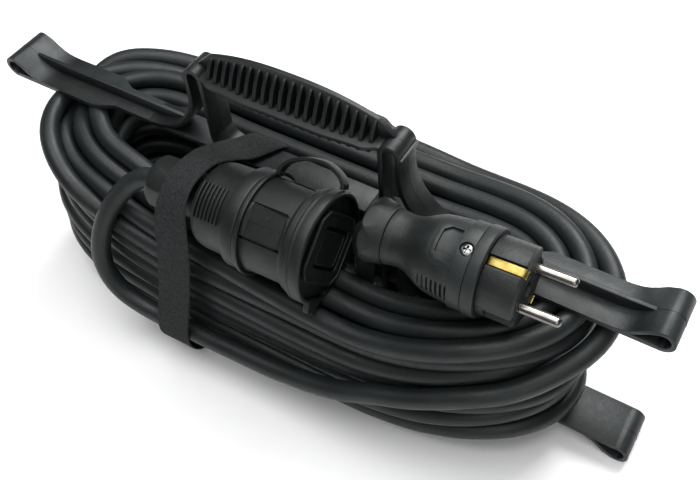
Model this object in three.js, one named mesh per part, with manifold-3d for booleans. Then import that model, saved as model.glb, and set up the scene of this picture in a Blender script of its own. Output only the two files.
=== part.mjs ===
import * as THREE from "three";
import Module from "manifold-3d";
import { mergeVertices } from "three/examples/jsm/utils/BufferGeometryUtils.js";

// Extension lead on a hand winder. Millimetres, +Z up, X along the winder, -Y is the front.

// Facets round a large and a small turned piece
const ROUND_SIDES = 32;
const SMALL_SIDES = 16;

// Winder
const MID_Z = 60;
const RAIL_LOW = 107.4;
const RAIL_HIGH = 110;
const RAIL_HALF_WIDTH = 7.8;
const HORN_HALF_WIDTH = 13;
const KINK_INNER = 120;
const KINK_OUTER = 130.5;
const WALL = 2.6;
const FILLET_CENTRE_X = 94.5;
const FILLET_CENTRE_Z = 144;
const FILLET_RADIUS = 35.3;
const EAR_CENTRE_X = 54.8;
const EAR_CENTRE_Z = 154.6;
const EAR_RADIUS = 4.5;
const POST_FOOT_RADIUS = 10;
const LOOP_CENTRE_X = 189;
const LOOP_CENTRE_Z = 113.9;
const LOOP_RADIUS = 5;
const LOOP_WALL = 2.2;
const FIN_HALF = 1.1;
const FIN_RISE = 6;
const FIN_START = 72;
const LOWER_FIN_HALF_LENGTH = 80;
const EAR_LIP_LOW = 152.6;
const EAR_LIP_HIGH = 155;
const GRIP_HALF_LENGTH = 50.3;
const GRIP_FLOOR = 155.6;
const GRIP_FLANGE = 158;
const SPINE_TOP = 173.9;
const SPINE_DROP = 6.4;
const SPINE_HALF_LENGTH = 47;
const SPINE_HALF_WIDTH = 1.3;
const GRIP_HALF_WIDTH = 12.4;
const LEDGE_WIDTH = 3;
const RIB_COUNT = 20;
const RIB_PITCH = 4.75;
const RIB_HALF = 1;
const COLUMN_INNER = 49;
const COLUMN_OUTER = 60.6;
const COLUMN_BAYS = 4;

// Cord
const CORD_DIAMETER = 10.8;
const CORD_SIDES = 10;
const COIL_CENTRE_X = 3;
const COIL_CENTRE_Y = 0;
const COIL_OUTER_A = 166;
const COIL_OUTER_B = 64;
const COIL_INNER_A = 121;
const COIL_INNER_B = 30;
const COIL_STEPS = 72;
const COIL_ROUNDNESS = 0.9;
const COIL_FOOT = 1;
const COIL_END_LIFT = 12.6;
const COIL_TOP = 103.5;
const COIL_FRONT_SAG = 21;
const COIL_BACK_SAG = 9;

// Strap
const STRAP_WIDTH = 20;
const STRAP_THICKNESS = 1.4;
const STRAP_FOOT_X = -52;

// Plug, measured back from the face that carries the pins
const PIN_SPACING = 19;
const PIN_LENGTH = 19;
const PIN_RADIUS = 2.4;
const PLUG_FACE_RADIUS = 18.3;
const PLUG_BODY_RADIUS = 19.8;
const CARRIER_RADIUS = 14.8;
const EARTH_STRIP_HALF_WIDTH = 2;
const HOUSING_SCREW_X = -25.5;
const CLAMP_X = -34.5;
const CLAMP_SCREW_Y = 8;
const TERMINAL_X = -21;
const PLUG_GRIP_SLOTS = 7;
const PLUG_GRIP_PITCH = 2.3;
const PLUG_NUT_ACROSS = 29.6;

// Coupling, measured back from the outer face of its cap
const CAP_RADIUS = 28.2;
const CAP_DISC = 3;
const CAP_SKIRT_END = -8.4;
const SHELL_RADIUS = 24.6;
const SHELL_FLATS = 4;
const SHELL_FLAT = 23.05;
const REAR_RIBS = 7;
const REAR_RIB_PITCH = 2.15;
const TETHER_SPIN = -78;
const TAB_SPIN = 101;
const COUPLING_NUT_ACROSS = 27;

const wasm = await Module();
wasm.setup();

function volume(geometry) {
  const p = geometry.attributes.position;
  const index = geometry.index;
  const a = new THREE.Vector3();
  const b = new THREE.Vector3();
  const c = new THREE.Vector3();
  let total = 0;
  for (let i = 0; i < index.count; i += 3) {
    a.fromBufferAttribute(p, index.getX(i));
    b.fromBufferAttribute(p, index.getX(i + 1));
    c.fromBufferAttribute(p, index.getX(i + 2));
    total += a.dot(b.cross(c)) / 6;
  }
  return total;
}

function solid(geometry) {
  const bare = new THREE.BufferGeometry();
  bare.setAttribute("position", geometry.attributes.position.clone());
  if (geometry.index) {
    bare.setIndex(geometry.index.clone());
  }
  const merged = mergeVertices(bare, 1e-4);
  const triangles = Uint32Array.from(merged.index.array);
  if (volume(merged) < 0) {
    for (let i = 0; i < triangles.length; i += 3) {
      const swap = triangles[i];
      triangles[i] = triangles[i + 1];
      triangles[i + 1] = swap;
    }
  }
  const mesh = new wasm.Mesh({
    numProp: 3,
    vertProperties: Float32Array.from(merged.attributes.position.array),
    triVerts: triangles,
  });
  mesh.merge();
  return new wasm.Manifold(mesh);
}

function join(first, ...rest) {
  return rest.reduce((sum, part) => sum.add(part), first);
}

function cut(first, ...rest) {
  return rest.reduce((sum, part) => sum.subtract(part), first);
}

function shapeOf(points) {
  return new THREE.Shape(points.map(([a, b]) => new THREE.Vector2(a, b)));
}

function prismXY(points, z0, z1) {
  const g = new THREE.ExtrudeGeometry(shapeOf(points), { depth: z1 - z0, bevelEnabled: false });
  g.translate(0, 0, z0);
  return solid(g);
}

function prismXZ(points, y0, y1) {
  const g = new THREE.ExtrudeGeometry(shapeOf(points), { depth: y1 - y0, bevelEnabled: false });
  g.rotateX(Math.PI / 2);
  g.translate(0, y1, 0);
  return solid(g);
}

function prismYZ(points, x0, x1) {
  const g = new THREE.ExtrudeGeometry(shapeOf(points), { depth: x1 - x0, bevelEnabled: false });
  g.applyMatrix4(new THREE.Matrix4().set(0, 0, 1, x0, 1, 0, 0, 0, 0, 1, 0, 0, 0, 0, 0, 1));
  return solid(g);
}

function box(x0, x1, y0, y1, z0, z1) {
  const g = new THREE.BoxGeometry(x1 - x0, y1 - y0, z1 - z0);
  g.translate((x0 + x1) / 2, (y0 + y1) / 2, (z0 + z1) / 2);
  return solid(g);
}

// Turned about the local X axis; profile points are [x, radius].
function turned(profile, sides = ROUND_SIDES) {
  const onAxis = profile[0][1] === 0;
  const points = profile.map(([x, r]) => new THREE.Vector2(r, x));
  if (!onAxis) {
    points.push(points[0].clone());
  }
  const g = new THREE.LatheGeometry(points, sides);
  g.rotateZ(-Math.PI / 2);
  return solid(g);
}

function ring(x0, x1, inner, outer, sides = ROUND_SIDES) {
  return turned([[x0, inner], [x0, outer], [x1, outer], [x1, inner]], sides);
}

function rod(x0, x1, radius, sides = SMALL_SIDES) {
  return turned([[x0, 0], [x0, radius], [x1, radius], [x1, 0]], sides);
}

function rodZ(x, y, z0, z1, radius, sides = SMALL_SIDES) {
  const g = new THREE.CylinderGeometry(radius, radius, z1 - z0, sides);
  g.rotateX(Math.PI / 2);
  g.translate(x, y, (z0 + z1) / 2);
  return solid(g);
}

function moved(part, x, y, z) {
  return part.translate([x, y, z]);
}

function spunX(part, degrees) {
  return part.rotate([degrees, 0, 0]);
}

function placed(part, matrix) {
  return part.transform(Array.from(matrix.elements));
}

// A line of constant thickness with mitred corners.
function ribbon(points, thickness) {
  const half = thickness / 2;
  const left = [];
  const right = [];
  for (let i = 0; i < points.length; i += 1) {
    const before = points[Math.max(i - 1, 0)];
    const after = points[Math.min(i + 1, points.length - 1)];
    const here = points[i];
    const d1 = new THREE.Vector2(here[0] - before[0], here[1] - before[1]).normalize();
    const d2 = new THREE.Vector2(after[0] - here[0], after[1] - here[1]).normalize();
    if (i === 0) {
      d1.copy(d2);
    }
    if (i === points.length - 1) {
      d2.copy(d1);
    }
    const n = new THREE.Vector2(-d1.y - d2.y, d1.x + d2.x).normalize();
    const reach = half / Math.max(n.dot(new THREE.Vector2(-d1.y, d1.x)), 0.4);
    left.push([here[0] + n.x * reach, here[1] + n.y * reach]);
    right.push([here[0] - n.x * reach, here[1] - n.y * reach]);
  }
  return left.concat(right.reverse());
}

function arc(cx, cz, radius, from, to, steps) {
  const out = [];
  for (let i = 0; i <= steps; i += 1) {
    const a = THREE.MathUtils.degToRad(from + ((to - from) * i) / steps);
    out.push([cx + radius * Math.cos(a), cz + radius * Math.sin(a)]);
  }
  return out;
}

function mirroredZ(z) {
  return 2 * MID_Z - z;
}

function flippedZ(points) {
  return points.map(([x, z]) => [x, mirroredZ(z)]).reverse();
}

function tube(points, radius, sides, steps) {
  const curve = new THREE.CatmullRomCurve3(points.map((p) => new THREE.Vector3(...p)));
  const outline = [];
  for (let i = 0; i < sides; i += 1) {
    const a = (2 * Math.PI * i) / sides;
    outline.push(new THREE.Vector2(radius * Math.cos(a), radius * Math.sin(a)));
  }
  const g = new THREE.ExtrudeGeometry(new THREE.Shape(outline), {
    steps,
    bevelEnabled: false,
    extrudePath: curve,
  });
  return solid(g);
}

const group = new THREE.Group();
group.name = "extension_lead";

function add(name, part, colour, roughness, metalness) {
  const mesh = part.getMesh();
  const g = new THREE.BufferGeometry();
  g.setAttribute("position", new THREE.BufferAttribute(Float32Array.from(mesh.vertProperties), 3));
  g.setIndex(new THREE.BufferAttribute(Uint32Array.from(mesh.triVerts), 1));
  const flat = g.toNonIndexed();
  flat.computeVertexNormals();
  const material = new THREE.MeshStandardMaterial({ color: colour, roughness, metalness });
  material.name = name;
  const node = new THREE.Mesh(flat, material);
  node.name = name;
  group.add(node);
}

// ---------------------------------------------------------------- winder

const LOOP_RAMP = [[6, 7.9], [9.6, 5], [13, 2.7], [16.6, 1.2], [20.5, 0.5]];

function railEnd(flip) {
  const turn = flip ? flippedZ : (points) => points;
  const strip = [
    [KINK_INNER - 8, -RAIL_HALF_WIDTH],
    [KINK_INNER, -RAIL_HALF_WIDTH],
    [KINK_OUTER, -HORN_HALF_WIDTH],
    [LOOP_CENTRE_X - 2, -HORN_HALF_WIDTH],
    [LOOP_CENTRE_X - 2, HORN_HALF_WIDTH],
    [KINK_OUTER, HORN_HALF_WIDTH],
    [KINK_INNER, RAIL_HALF_WIDTH],
    [KINK_INNER - 8, RAIL_HALF_WIDTH],
  ];
  const z0 = flip ? mirroredZ(RAIL_HIGH) : RAIL_LOW;
  const z1 = flip ? mirroredZ(RAIL_LOW) : RAIL_HIGH;
  const centre = (RAIL_LOW + RAIL_HIGH) / 2;
  const loop = [[LOOP_CENTRE_X - 6, centre]].concat(
    arc(LOOP_CENTRE_X, LOOP_CENTRE_Z, LOOP_RADIUS, -97.5, 112.5, 14),
    LOOP_RAMP.map(([back, rise]) => [LOOP_CENTRE_X - back, centre + rise]),
  );
  const fin = [
    [FIN_START, RAIL_LOW + 1.2],
    [LOOP_CENTRE_X - 9, RAIL_LOW + 1.2],
    [LOOP_CENTRE_X - 5.2, LOOP_CENTRE_Z + 3.4],
    [LOOP_CENTRE_X - 20, RAIL_HIGH + FIN_RISE + 0.8],
    [FIN_START, RAIL_HIGH + FIN_RISE],
  ];
  return join(
    prismXY(strip, z0, z1),
    prismXZ(turn(ribbon(loop, LOOP_WALL)), -HORN_HALF_WIDTH, HORN_HALF_WIDTH),
    prismXZ(turn(fin), -FIN_HALF, FIN_HALF),
  );
}

function band() {
  const centre = (RAIL_LOW + RAIL_HIGH) / 2;
  const top = FILLET_CENTRE_Z;
  const outer = [[KINK_INNER - 6, centre]].concat(
    arc(FILLET_CENTRE_X, top, FILLET_RADIUS, -90, -180, 14),
    arc(EAR_CENTRE_X, EAR_CENTRE_Z, EAR_RADIUS, 0, 180, 12),
  );
  const footX = EAR_CENTRE_X - EAR_RADIUS - POST_FOOT_RADIUS;
  const foot = arc(footX, centre + POST_FOOT_RADIUS, POST_FOOT_RADIUS, 0, -90, 8);
  return prismXZ(ribbon(outer.concat(foot), WALL), -RAIL_HALF_WIDTH, RAIL_HALF_WIDTH);
}

function column() {
  const h = RAIL_HALF_WIDTH;
  const high = RAIL_LOW + 0.5;
  const low = mirroredZ(high);
  const parts = [
    box(COLUMN_INNER, COLUMN_INNER + WALL, -h, h, low, high),
    box(COLUMN_OUTER - WALL, COLUMN_OUTER, -h, h, low, high),
    box(COLUMN_INNER + 1, COLUMN_OUTER - 1, -FIN_HALF, FIN_HALF, low, high),
  ];
  for (let i = 1; i < COLUMN_BAYS; i += 1) {
    const z = low + ((high - low) * i) / COLUMN_BAYS;
    parts.push(box(COLUMN_INNER + 1, COLUMN_OUTER - 1, -h + 1, h - 1, z - 1, z + 1));
  }
  return join(...parts);
}

function smoothStep(a, b, x) {
  const u = Math.min(Math.max((x - a) / (b - a), 0), 1);
  return u * u * (3 - 2 * u);
}

function flangeHalfWidth(x) {
  const far = Math.abs(x);
  return GRIP_HALF_WIDTH - 1.4 * smoothStep(20, 40, far) - 3.4 * smoothStep(42, GRIP_HALF_LENGTH, far);
}

function spineHeight(x) {
  return SPINE_TOP - SPINE_DROP * Math.abs(x / SPINE_HALF_LENGTH) ** 2.4;
}

function grip() {
  const outline = [];
  const steps = 24;
  for (let i = 0; i <= steps; i += 1) {
    const x = -GRIP_HALF_LENGTH + (2 * GRIP_HALF_LENGTH * i) / steps;
    outline.push([x, -flangeHalfWidth(x)]);
  }
  const back = outline.map(([x, y]) => [x, -y]).reverse();
  const parts = [prismXY(outline.concat(back), GRIP_FLOOR, GRIP_FLANGE)];
  const spine = [[-GRIP_HALF_LENGTH, GRIP_FLANGE - 1]];
  spine.push([GRIP_HALF_LENGTH, GRIP_FLANGE - 1]);
  const earTop = EAR_CENTRE_Z + EAR_RADIUS;
  const ends = [[EAR_CENTRE_X, earTop], [EAR_CENTRE_X, earTop + WALL / 2 + 0.3]];
  spine.push(...ends);
  for (let i = steps; i >= 0; i -= 1) {
    const x = -SPINE_HALF_LENGTH + (2 * SPINE_HALF_LENGTH * i) / steps;
    spine.push([x, spineHeight(x)]);
  }
  spine.push(...ends.map(([x, z]) => [-x, z]).reverse());
  parts.push(prismXZ(spine, -SPINE_HALF_WIDTH, SPINE_HALF_WIDTH));
  for (let i = 0; i < RIB_COUNT; i += 1) {
    const x = (i - (RIB_COUNT - 1) / 2) * RIB_PITCH;
    const w = flangeHalfWidth(x) - LEDGE_WIDTH;
    const h = spineHeight(x) - GRIP_FLANGE - 1.8 + 1.4 * Math.abs(x / SPINE_HALF_LENGTH) ** 2.4;
    const rib = [[-w, GRIP_FLANGE - 1], [w, GRIP_FLANGE - 1]];
    for (let k = 0; k <= 12; k += 1) {
      const y = Math.cos((Math.PI * k) / 12);
      rib.push([w * y, GRIP_FLANGE + h * (1 - y * y)]);
    }
    parts.push(prismYZ(rib, x - RIB_HALF, x + RIB_HALF));
  }
  return join(...parts);
}

function winder() {
  const upper = prismXZ([
    [-KINK_INNER + 4, RAIL_LOW],
    [KINK_INNER - 4, RAIL_LOW],
    [KINK_INNER - 4, RAIL_HIGH],
    [-KINK_INNER + 4, RAIL_HIGH],
  ], -RAIL_HALF_WIDTH, RAIL_HALF_WIDTH);
  const lower = upper.mirror([0, 0, 1]).translate([0, 0, 2 * MID_Z]);
  const underside = mirroredZ(RAIL_HIGH);
  const reach = LOWER_FIN_HALF_LENGTH;
  const lowerFin = box(-reach, reach, -FIN_HALF, FIN_HALF, underside - FIN_RISE, underside + 1);
  const earSide = [COLUMN_OUTER - 1, COLUMN_OUTER + 1.2];
  const lip = box(...earSide, -RAIL_HALF_WIDTH, RAIL_HALF_WIDTH, EAR_LIP_LOW, EAR_LIP_HIGH);
  const side = join(railEnd(false), railEnd(true), band(), column(), lip);
  const other = side.mirror([1, 0, 0]);
  return join(upper, lower, lowerFin, side, other, grip());
}

// ------------------------------------------------------------------ coil

function coilSection(t) {
  const c = Math.cos(t);
  const s = Math.sin(t);
  const sx = Math.sign(c) * Math.abs(c) ** COIL_ROUNDNESS;
  const sy = Math.sign(s) * Math.abs(s) ** COIL_ROUNDNESS;
  const outer = [COIL_OUTER_A * sx, COIL_OUTER_B * sy];
  const inner = [COIL_INNER_A * sx, COIL_INNER_B * sy];
  const end = THREE.MathUtils.smoothstep(Math.abs(c), 0.72, 0.95);
  const front = s < 0 ? 1 : 0;
  const middle = 1 - THREE.MathUtils.smoothstep(Math.abs(c), 0.5, 0.95);
  const sag = front ? COIL_FRONT_SAG : COIL_BACK_SAG;
  const top = COIL_TOP - sag * middle * Math.sqrt(Math.abs(s));
  const low = COIL_FOOT + COIL_END_LIFT * end;
  return { outer, inner, low, top, front };
}

function coil() {
  const profile = [
    [0, 0.16], [0.08, 0.05], [0.22, 0], [0.62, 0], [0.86, 0.06], [0.97, 0.2], [1, 0.42],
    [1, 0.7], [0.94, 0.88], [0.8, 0.98], [0.5, 1], [0.1, 1], [0, 0.9],
  ];
  const n = profile.length;
  const positions = [];
  const index = [];
  for (let i = 0; i < COIL_STEPS; i += 1) {
    const { outer, inner, low, top, front } = coilSection((2 * Math.PI * i) / COIL_STEPS);
    profile.forEach(([u, v]) => {
      const x = COIL_CENTRE_X + inner[0] + (outer[0] - inner[0]) * u;
      const y = COIL_CENTRE_Y + inner[1] + (outer[1] - inner[1]) * u;
      const foot = low + front * 2 * Math.exp(-(((x - STRAP_FOOT_X) / 24) ** 4));
      positions.push(x, y, foot + (top - foot) * v);
    });
    const next = ((i + 1) % COIL_STEPS) * n;
    for (let k = 0; k < n; k += 1) {
      const k2 = (k + 1) % n;
      index.push(i * n + k, next + k, next + k2);
      index.push(i * n + k, next + k2, i * n + k2);
    }
  }
  const g = new THREE.BufferGeometry();
  g.setAttribute("position", new THREE.BufferAttribute(new Float32Array(positions), 3));
  g.setIndex(index);
  return solid(g);
}

// ----------------------------------------------------------------- strap

function strap() {
  const path = [
    [9.2, 106.2, -29], [9.2, 111.2, -29], [-8.6, 111.8, -30], [-13.5, 117, -33],
    [-25.9, 131.4, -36], [-38.5, 135, -37], [-51.1, 131.5, -38], [-60.2, 122.4, -39],
    [-64.3, 110, -41], [-66.5, 92, -43], [-69, 66, -46], [-74.6, 42, -49],
    [-75.6, 26, -51], [-70.5, 10, -52], [-60, 1.3, -52.5], [-44, 1.2, -52.5],
    [-30, 1.4, -52], [-23.6, 10, -50], [-21.5, 60, -42], [-14, 88, -38], [-11, 103, -35],
    [-7, 105.9, -31],
  ];
  const positions = [];
  const index = [];
  const n = path.length;
  for (let i = 0; i < n; i += 1) {
    const [y, z, x] = path[i];
    const a = path[(i + n - 1) % n];
    const b = path[(i + 1) % n];
    const d1 = new THREE.Vector2(y - a[0], z - a[1]).normalize();
    const d2 = new THREE.Vector2(b[0] - y, b[1] - z).normalize();
    const normal = new THREE.Vector2(-d1.y - d2.y, d1.x + d2.x).normalize();
    const reach = STRAP_THICKNESS / 2 / Math.max(normal.dot(new THREE.Vector2(-d1.y, d1.x)), 0.5);
    for (const [side, way] of [[-1, -1], [1, -1], [1, 1], [-1, 1]]) {
      const edge = x + (side * STRAP_WIDTH) / 2;
      positions.push(edge, y + normal.x * reach * way, z + normal.y * reach * way);
    }
    const here = i * 4;
    const next = ((i + 1) % n) * 4;
    for (let k = 0; k < 4; k += 1) {
      const k2 = (k + 1) % 4;
      index.push(here + k, next + k, next + k2);
      index.push(here + k, next + k2, here + k2);
    }
  }
  const g = new THREE.BufferGeometry();
  g.setAttribute("position", new THREE.BufferAttribute(new Float32Array(positions), 3));
  g.setIndex(index);
  return solid(g);
}

// ------------------------------------------------------------------ plug

function frameMatrix(origin, forward, spinDegrees) {
  const x = new THREE.Vector3(...forward).normalize();
  const side = new THREE.Vector3(0, 0, 1).cross(x).normalize();
  const up = new THREE.Vector3().crossVectors(x, side);
  const a = THREE.MathUtils.degToRad(spinDegrees);
  const z = side.clone().multiplyScalar(Math.cos(a)).addScaledVector(up, Math.sin(a));
  const y = new THREE.Vector3().crossVectors(z, x);
  return new THREE.Matrix4().makeBasis(x, y, z).setPosition(...origin);
}

const PLUG_AT = frameMatrix([131.3, -22.9, 126.2], [0.9989, 0.014, 0.044], 108.4);
const COUPLING_AT = frameMatrix([40.2, -37.35, 112.3], [0.999, 0.015, 0.032], 126);

function crossHead(x, y, z, radius) {
  const arm = radius * 0.72;
  const slot = radius * 0.17;
  return join(
    box(x - arm, x + arm, y - slot, y + slot, z - 0.7, z + 1),
    box(x - slot, x + slot, y - arm, y + arm, z - 0.7, z + 1),
  );
}

function plugCarrier() {
  const body = turned([
    [-40, 0], [-40, CARRIER_RADIUS], [-16.6, CARRIER_RADIUS], [-16.6, PLUG_FACE_RADIUS],
    [-0.9, PLUG_FACE_RADIUS], [0, PLUG_FACE_RADIUS - 0.9], [0, 0],
  ]);
  const away = [box(-41, -29.7, -16, 16, 5.3, 16), box(-1.4, 1, -2.6, 2.6, -5, 5)];
  for (const side of [-1, 1]) {
    away.push(moved(rod(-26, 1, PIN_RADIUS + 0.3), 0, (side * PIN_SPACING) / 2, 0));
    away.push(rodZ(TERMINAL_X, (side * PIN_SPACING) / 2, 1.6, 15.5, 1.7));
    away.push(rodZ(CLAMP_X, side * CLAMP_SCREW_Y, -2, 6, 1.6));
    const groove = [
      [side * 15.2, -2.4], [side * 20, -3.2], [side * 20, 3.2], [side * 15.2, 2.4],
    ];
    away.push(prismYZ(side > 0 ? groove : groove.reverse(), -13, 1));
    away.push(box(-16.8, 1, -2.7, 2.7, side > 0 ? 15.6 : -20, side > 0 ? 20 : -15.6));
  }
  away.push(rodZ(HOUSING_SCREW_X, 0, 9, 15.5, 1.9));
  return cut(body, ...away);
}

function plugPin(side) {
  const profile = [
    [-25.4, 0], [-25.4, PIN_RADIUS], [PIN_LENGTH - 1.6, PIN_RADIUS],
    [PIN_LENGTH - 0.5, PIN_RADIUS - 0.6], [PIN_LENGTH, PIN_RADIUS - 1.4], [PIN_LENGTH, 0],
  ];
  return moved(turned(profile, SMALL_SIDES), 0, (side * PIN_SPACING) / 2, 0);
}

function earthStrip(side) {
  const w = EARTH_STRIP_HALF_WIDTH;
  const strip = join(box(-16.3, 1.1, -w, w, 16, 17.3), box(0.35, 1.1, -w, w, 14.4, 17.3));
  return side > 0 ? strip : spunX(strip, 180);
}

function plugHousing() {
  const outer = [
    [-69.8, 7.5], [-69.8, 9.8], [-65, 9.8], [-65, 13.4], [-62, 13], [-58, 12.7], [-54, 13.4],
    [-50, 15.2], [-46, 17.2], [-42, 18.4], [-36, 19.2], [-28.4, PLUG_BODY_RADIUS],
    [-28, 20.4], [-25.4, 20.4], [-25, 19.9], [-21, 19.9], [-20.6, 20.9], [-17.5, 20.9],
    [-16.9, 20.3], [-16.9, 15.2], [-40.4, 15.2], [-46, 9.6], [-60, 7.5],
  ];
  const body = turned(outer);
  const away = [rodZ(HOUSING_SCREW_X, 0, 13, 22, 1.9), rodZ(HOUSING_SCREW_X, 0, 18.7, 22, 3.2)];
  const plate = [[-42.5, 0], [-39.5, -6.5], [-30.5, -7.5], [-30.5, 7.5], [-39.5, 6.5]];
  away.push(cut(prismXY(plate, 10, 24), turned([
    [-50, 0], [-50, 18.1], [-42, 17.9], [-36, 18.7], [-28, 19.3], [-28, 0],
  ])));
  for (let i = 0; i < PLUG_GRIP_SLOTS; i += 1) {
    const x = -43.6 + i * PLUG_GRIP_PITCH;
    const slot = box(x - 0.6, x + 0.6, -4.5, 4.5, 17.5, 22);
    away.push(spunX(slot, 74), spunX(slot, 254));
  }
  return cut(body, ...away);
}

function octagonPrism(x0, x1, across) {
  const points = [];
  for (let i = 0; i < 8; i += 1) {
    const a = ((i + 0.5) * Math.PI) / 4;
    const r = across / 2 / Math.cos(Math.PI / 8);
    points.push([r * Math.cos(a), r * Math.sin(a)]);
  }
  return prismYZ(points, x0, x1);
}

function plugNut() {
  const outer = octagonPrism(-77.4, -65.4, PLUG_NUT_ACROSS).intersect(turned([
    [-77.4, 0], [-77.4, 14], [-75.8, 15.4], [-67, 15.8], [-65.4, 14.2], [-65.4, 0],
  ]));
  const bore = turned([
    [-78, 0], [-78, 12.7], [-77.4, 12.4], [-74, 8.6], [-71.6, 6.3], [-70.2, 6.3],
    [-70.2, 10.2], [-65, 10.2], [-65, 0],
  ]);
  return cut(outer, bore);
}

function plugClampBar() {
  const bar = box(-38, -31, -11, 11, 5.6, 7.8);
  return cut(bar, rodZ(CLAMP_X, -CLAMP_SCREW_Y, 5, 9, 1.7), rodZ(CLAMP_X, CLAMP_SCREW_Y, 5, 9, 1.7));
}

function clampScrew(side) {
  const y = side * CLAMP_SCREW_Y;
  const screw = join(rodZ(CLAMP_X, y, 8.1, 9.7, 2.2), rodZ(CLAMP_X, y, -1.5, 8.3, 1.3));
  return cut(screw, crossHead(CLAMP_X, y, 9.7, 2.2));
}

function terminalScrew(side) {
  return rodZ(TERMINAL_X, (side * PIN_SPACING) / 2, 2.8, 9, 1.4);
}

function housingScrew() {
  const x = HOUSING_SCREW_X;
  const screw = join(rodZ(x, 0, 19, 20.2, 2.85), rodZ(x, 0, 10, 19.2, 1.5));
  return cut(screw, crossHead(x, 0, 20.2, 2.85));
}

// -------------------------------------------------------------- coupling

function couplingShell() {
  const body = turned([
    [-38.7, 21.2], [-38.7, SHELL_RADIUS - 0.5], [-38, SHELL_RADIUS], [-12.4, SHELL_RADIUS],
    [-12, 26.3], [-9.1, 26.3], [-9.1, 24.8], [-5.6, 24.8], [-5.6, 19.8],
    [-21.7, 19.8], [-21.7, 16.9], [-25.9, 16.9], [-25.9, 21.2],
  ], ROUND_SIDES);
  const flat = [
    [-33.9, SHELL_FLAT], [-16, SHELL_FLAT], [-13.4, SHELL_FLAT + 2.6], [-13.4, 30], [-36.5, 30],
    [-36.5, SHELL_FLAT + 2.6],
  ];
  const flats = [];
  for (let i = 0; i < SHELL_FLATS; i += 1) {
    flats.push(spunX(prismXZ(flat, -12, 12), 1.5 + (360 * i) / SHELL_FLATS));
  }
  return cut(body, ...flats);
}

function couplingRear() {
  const body = turned([
    [-86, 7.8], [-86, 12.2], [-72, 12.2], [-69.5, 16], [-67.5, 19.6], [-65, 21.6], [-60, 22.4],
    [-46.4, 22.8], [-46, 25.6], [-39.6, 25.6], [-39.1, 25], [-39.1, 17.1], [-60.6, 17.1],
    [-66, 7.8],
  ], ROUND_SIDES);
  const ribs = [];
  const wedge = [[0, 0], [-12.7, 30], [12.7, 30]];
  const window = prismYZ(wedge, -67, -49);
  const zone = join(window, spunX(window, 180));
  for (let i = 0; i < REAR_RIBS; i += 1) {
    const x = -63.6 + i * REAR_RIB_PITCH;
    ribs.push(ring(x - 0.6, x + 0.6, 21, 23.7, ROUND_SIDES));
  }
  return join(body, join(...ribs).intersect(zone));
}

function couplingCarrier() {
  const body = turned([
    [-60, 0], [-60, 16.6], [-33, 16.6], [-33, 20.8], [-26.3, 20.8], [-26.3, 16.5],
    [-21, 16.5], [-21, 0],
  ]);
  const away = [rod(-50.4, -20, 2.1), rod(-23.5, -20, 3.6)];
  for (const side of [-1, 1]) {
    away.push(moved(rod(-45, -20, 3.9), 0, (side * PIN_SPACING) / 2, 0));
  }
  return cut(body, ...away);
}

function couplingSleeve(side) {
  return moved(ring(-44.4, -21.5, 2.6, 3.5, SMALL_SIDES), 0, (side * PIN_SPACING) / 2, 0);
}

function centreScrew() {
  const head = join(rod(-23.2, -21.6, 3.2), rod(-49.8, -23, 1.7));
  return cut(head, box(-22.2, -21, -2.4, 2.4, -0.5, 0.5));
}

function earthClip(side) {
  const clip = join(box(-21.3, -8.2, -2.2, 2.2, 18.2, 19.1), box(-14.5, -11.5, -2.2, 2.2, 17.2, 18.4));
  return side > 0 ? clip : spunX(clip, 180);
}

function couplingNut() {
  const outer = octagonPrism(-102.6, -80, COUPLING_NUT_ACROSS).intersect(turned([
    [-102.6, 0], [-102.6, 12.4], [-101, 13.9], [-82, 14.6], [-80, 13.2], [-80, 0],
  ]));
  const bore = turned([
    [-103, 0], [-103, 7], [-101, 6.2], [-96, 6.2], [-96, 12.6], [-79, 12.6], [-79, 0],
  ]);
  return cut(outer, bore);
}

function cap() {
  const body = turned([
    [-0.9, 0], [-CAP_DISC, 0], [-CAP_DISC, 25.3], [CAP_SKIRT_END, 25.3],
    [CAP_SKIRT_END, CAP_RADIUS - 0.4], [CAP_SKIRT_END + 0.6, CAP_RADIUS], [-1.6, CAP_RADIUS],
    [-0.5, CAP_RADIUS - 0.5], [-0.5, CAP_RADIUS - 1.6], [-0.9, CAP_RADIUS - 2], [-0.9, 0],
  ]);
  const plate = [
    [-17.4, -14.5], [-12, -20], [12, -20], [17.4, -14.5], [17.4, 14.5], [12, 20], [-12, 20], [-17.4, 14.5],
  ];
  const rim = prismYZ(plate, -1.5, 0);
  const inside = prismYZ(plate.map(([u, v]) => [u * 0.93, v * 0.93]), -0.6, 1);
  const window = prismYZ([[-10.4, -14.6], [10.4, -14.6], [10.4, 12.2], [-10.4, 12.2]], -1.6, 1);
  const tab = prismYZ([[-6, 26], [-4, 32.4], [4, 32.4], [6, 26]], -3.4, -0.4);
  return join(cut(body, window), cut(rim, inside, window), spunX(tab, TAB_SPIN));
}

function capSeal() {
  return ring(-5.3, -3.3, 20.2, 24.3, ROUND_SIDES);
}

function tether() {
  const hoop = ring(-38.3, -35.7, 25, 26.7, ROUND_SIDES);
  const path = [
    [-37, 0, 26], [-35, 0, 30.4], [-30.4, 0, 34.2], [-22.6, 0, 37], [-13.6, 0, 37.6], [-6.4, 0, 35],
    [-3, 0, 31.6], [-2.4, 0, 29.1],
  ];
  const line = path.map((p) => new THREE.Vector3(...p));
  const curve = new THREE.CatmullRomCurve3(line);
  const outline = [[-0.9, -2.6], [0.9, -2.6], [0.9, 2.6], [-0.9, 2.6]];
  const g = new THREE.ExtrudeGeometry(shapeOf(outline), {
    steps: 22,
    bevelEnabled: false,
    extrudePath: curve,
  });
  const clear = ring(-9, 4, 0.1, CAP_RADIUS + 0.4, ROUND_SIDES);
  return join(hoop, spunX(cut(solid(g), clear), TETHER_SPIN));
}

// --------------------------------------------------------------- assembly

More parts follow.
